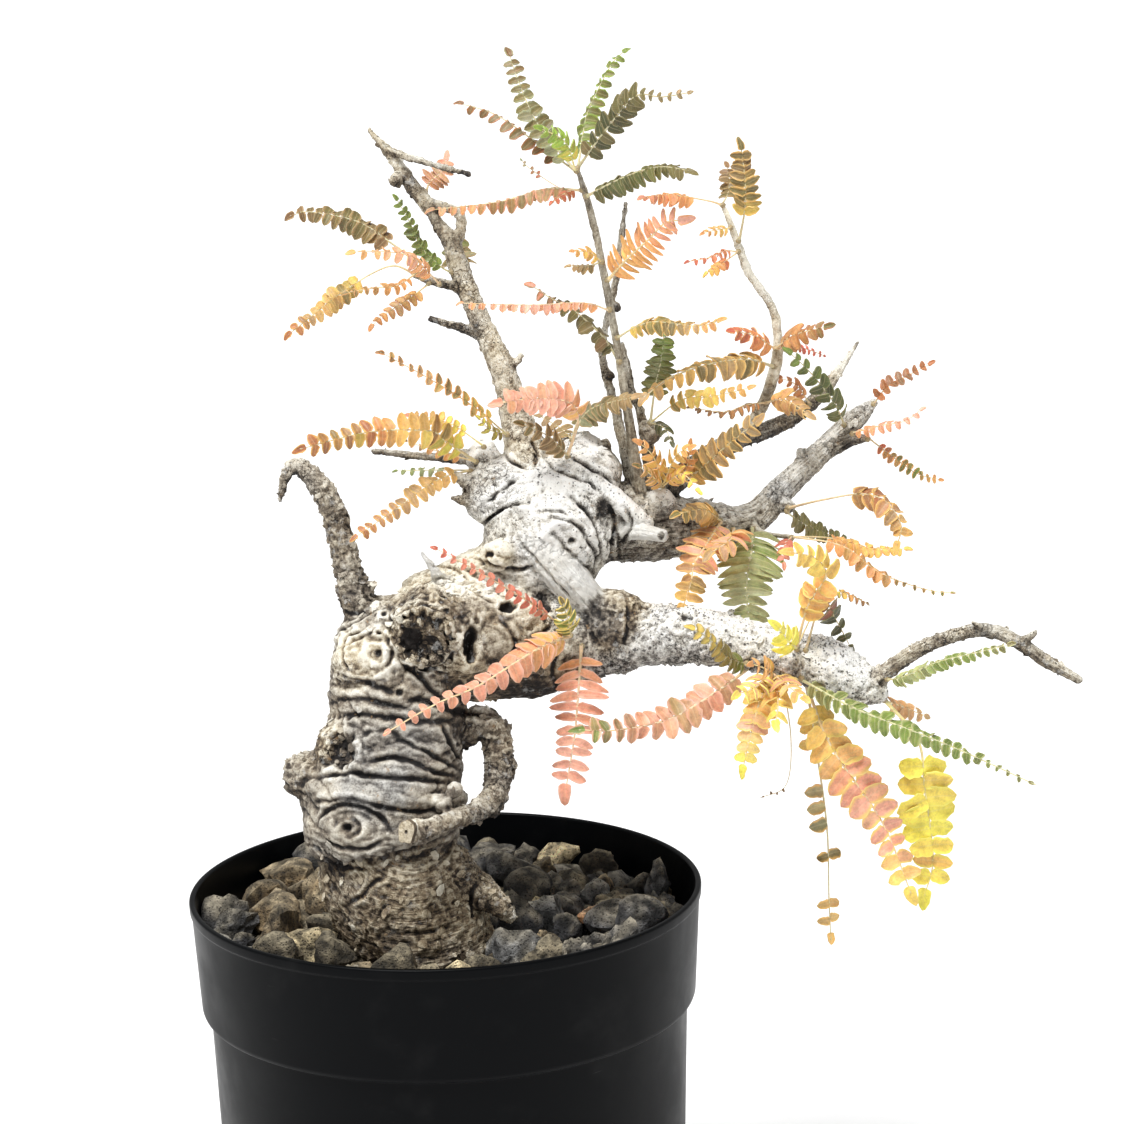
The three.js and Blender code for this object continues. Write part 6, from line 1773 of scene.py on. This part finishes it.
def addLeaf(shape, leaf, bud, root, random):
    rows = np.array([bud, *leaf["rib"]], float)
    places, scales = sight(rows[:, 0], rows[:, 1], rows[:, 2])
    places[0] = root
    line = smoothLine(places, 0.8 * mm)
    scale = float(scales.mean())
    steps = np.concatenate([[0], np.cumsum(np.linalg.norm(np.diff(line, axis=0), axis=1))])
    bare = leaf.get("bare", leafMake["bare"])
    reach, pairs = leaf["size"]
    turn, fold = np.radians(leaf["pose"])
    tints = leaf["tints"]
    directions = unit(np.gradient(line, axis=0))
    taper = np.interp(steps / steps[-1], [0, 0.06, 0.2, 1], [1.7, 1.25, 1.0, 0.5])
    big = np.clip(reach / 14, 0.7, 1.3)
    ribColour = 0.5 * colourAt(tints, 0.3) + 0.5 * leafMake["shade"] * np.array(leafColours["cream"])
    addRib(shape, line, leafMake["ribRadius"] * big * taper, ribColour)

    def station(share):
        at = share * steps[-1]
        centre = np.array([np.interp(at, steps, line[:, k]) for k in range(3)])
        direction = unit(np.array([np.interp(at, steps, directions[:, k]) for k in range(3)]))
        facing = viewEye - centre
        facing = unit(facing - direction * (facing @ direction))
        rise = np.cross(facing, direction)
        rise = rise if rise[2] > 0 else -rise
        normal = facing * math.cos(turn) + rise * math.sin(turn)
        return centre, direction, normal

    covered = leafMake["leafletsTo"] - bare
    gap = steps[-1] * covered / pairs
    last = None
    for i in range(pairs):
        along = (i + 0.5) / pairs
        share = bare + along * covered
        for hand in (1, -1):
            if leaf.get("sparse") and random.random_sample() < 0.35:
                continue
            at = share + hand * 0.12 / pairs * (random.random_sample() - 0.2)
            centre, direction, normal = station(min(at, 0.96))
            if last is not None and normal @ last < 0:
                normal = -normal
            last = normal
            side = np.cross(direction, normal) * hand
            out = side * math.cos(fold) - normal * math.sin(fold)
            face = normal * math.cos(fold) + side * math.sin(fold)
            lean = 0.12 + 0.13 * random.normal()
            lift = 0.16 * random.normal()
            out = unit(out + direction * lean + face * lift)
            forward = unit(direction - out * (direction @ out))
            small = 0.5 if leaf.get("tail") and along > leaf["tail"] else 1
            swell = 0.72 + 0.4 * math.sin(math.pi * min(1, along * 1.1 + 0.12))
            swell *= 1 - (1 - leaf.get("tip", 1)) * along**2
            length = 1.02 * reach * scale * swell * small * (0.92 + 0.16 * random.random_sample())
            width = min(gap * leafMake["overlap"] * leaf.get("plump", 1) * leaf.get("slim", 1), length * 0.78)
            width *= 0.92 + 0.16 * random.random_sample()
            tint = colourAt(tints, along) * (0.8 + 0.4 * random.random_sample())
            tint += (colourAt(tints, random.random_sample()) - tint) * 0.4 * random.random_sample()
            edge = colourAt([leaf["edge"]], 0) * (0.85 + 0.3 * random.random_sample())
            face = np.cross(forward, out) if np.cross(forward, out) @ face > 0 else np.cross(out, forward)
            addLeaflet(shape, centre, out, forward, face, length, width, tint, edge, random, leaf)
    centre, direction, normal = station(0.97)
    if last is not None and normal @ last < 0:
        normal = -normal
    forward = np.cross(normal, direction)
    length = reach * scale * leaf.get("last", 0.9) * (0.5 if leaf.get("tail") else 1) * leaf.get("tip", 1)
    width, tint, edge = length * 0.55, colourAt(tints, 1), colourAt([leaf["edge"]], 0)
    addLeaflet(shape, centre, direction, forward, normal, length, width, tint, edge, random, leaf)


def makeSpray(name, spray, seed):
    random = np.random.RandomState(seed)
    seat, normal, face, far = woodTree.find_nearest(Vector(sight(*spray["bud"])[0]))
    seat, normal = np.array(seat), np.array(normal)
    shape = LeafShape()
    budLine = seat + normal * np.array(leafMake["budHeights"])[:, None] * mm
    addRib(shape, budLine, np.array(leafMake["budRadii"]) * mm, np.array(leafMake["budColour"]))
    for leaf in spray["fronds"]:
        addLeaf(shape, leaf, spray["bud"], seat + normal * 0.3 * mm, random)
    mesh = makeMesh(name, np.vstack(shape.points), shape.faces)
    for word, rows in (("tint", shape.tint), ("edge", shape.edge), ("blade", shape.blade)):
        storeField(mesh, word, np.vstack(rows))
    storeField(mesh, "rib", np.concatenate(shape.rib))
    piece = addObject(name, mesh, [leafMaterial])
    mesh.set_sharp_from_angle(angle=math.radians(leafMake["sharp"]))
    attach(piece, "root")
    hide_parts("".join("_" + letter.lower() if letter.isupper() else letter for letter in name))
    return len(mesh.polygons)


leafFaces = 0
for i, (name, spray) in enumerate(leafSprays.items()):
    leafFaces += makeSpray(name, spray, leafMake["seed"] + i)
print("leaves placed:", len(leafSprays), "sprays,", leafFaces, "faces")

# Floor, light and camera
studio = {
    "floorSize": 90.0,
    "floorColour": (0.9, 0.9, 0.9, 1),
    "floorRoughness": 0.9,
    "world": 0.45,
    "sun": {"from": (-0.25, -0.36, 1.0), "strength": 3.8, "angle": 24},
}


def buildStudio():
    size = studio["floorSize"] / 2
    corners = [(-size, -size, 0), (size, -size, 0), (size, size, 0), (-size, size, 0)]
    mesh = makeMesh("floor", corners, [(0, 1, 2, 3)])
    material = bpy.data.materials.new("pale floor")
    material.use_nodes = True
    shader = material.node_tree.nodes["Principled BSDF"]
    shader.inputs["Base Color"].default_value = studio["floorColour"]
    shader.inputs["Roughness"].default_value = studio["floorRoughness"]
    addObject("floor", mesh, [material])
    world = bpy.data.worlds.new("soft light")
    world.use_nodes = True
    background = world.node_tree.nodes["Background"].inputs
    background["Color"].default_value, background["Strength"].default_value = (1, 1, 1, 1), studio["world"]
    bpy.context.scene.world = world
    sun = bpy.data.lights.new("skylight", "SUN")
    sun.energy, sun.angle = studio["sun"]["strength"], math.radians(studio["sun"]["angle"])
    thing = bpy.data.objects.new("skylight", sun)
    thing.rotation_euler = (-Vector(studio["sun"]["from"])).to_track_quat("-Z", "Y").to_euler()
    bpy.context.scene.collection.objects.link(thing)
    bpy.context.scene.view_settings.view_transform = "Standard"


def buildCamera():
    camera = bpy.data.cameras.new("photoView")
    camera.sensor_fit, camera.sensor_width = "HORIZONTAL", frontView["sensor"]
    camera.lens = frontView["focal"] / frontView["size"] * frontView["sensor"]
    camera.dof.use_dof = False
    thing = bpy.data.objects.new("photoView", camera)
    axes = np.column_stack([viewRight, viewUp, -viewForward, viewEye])
    thing.matrix_world = Matrix([*axes.tolist(), [0, 0, 0, 1]])
    bpy.context.scene.collection.objects.link(thing)
    bpy.context.scene.camera = thing


buildStudio()
buildCamera()
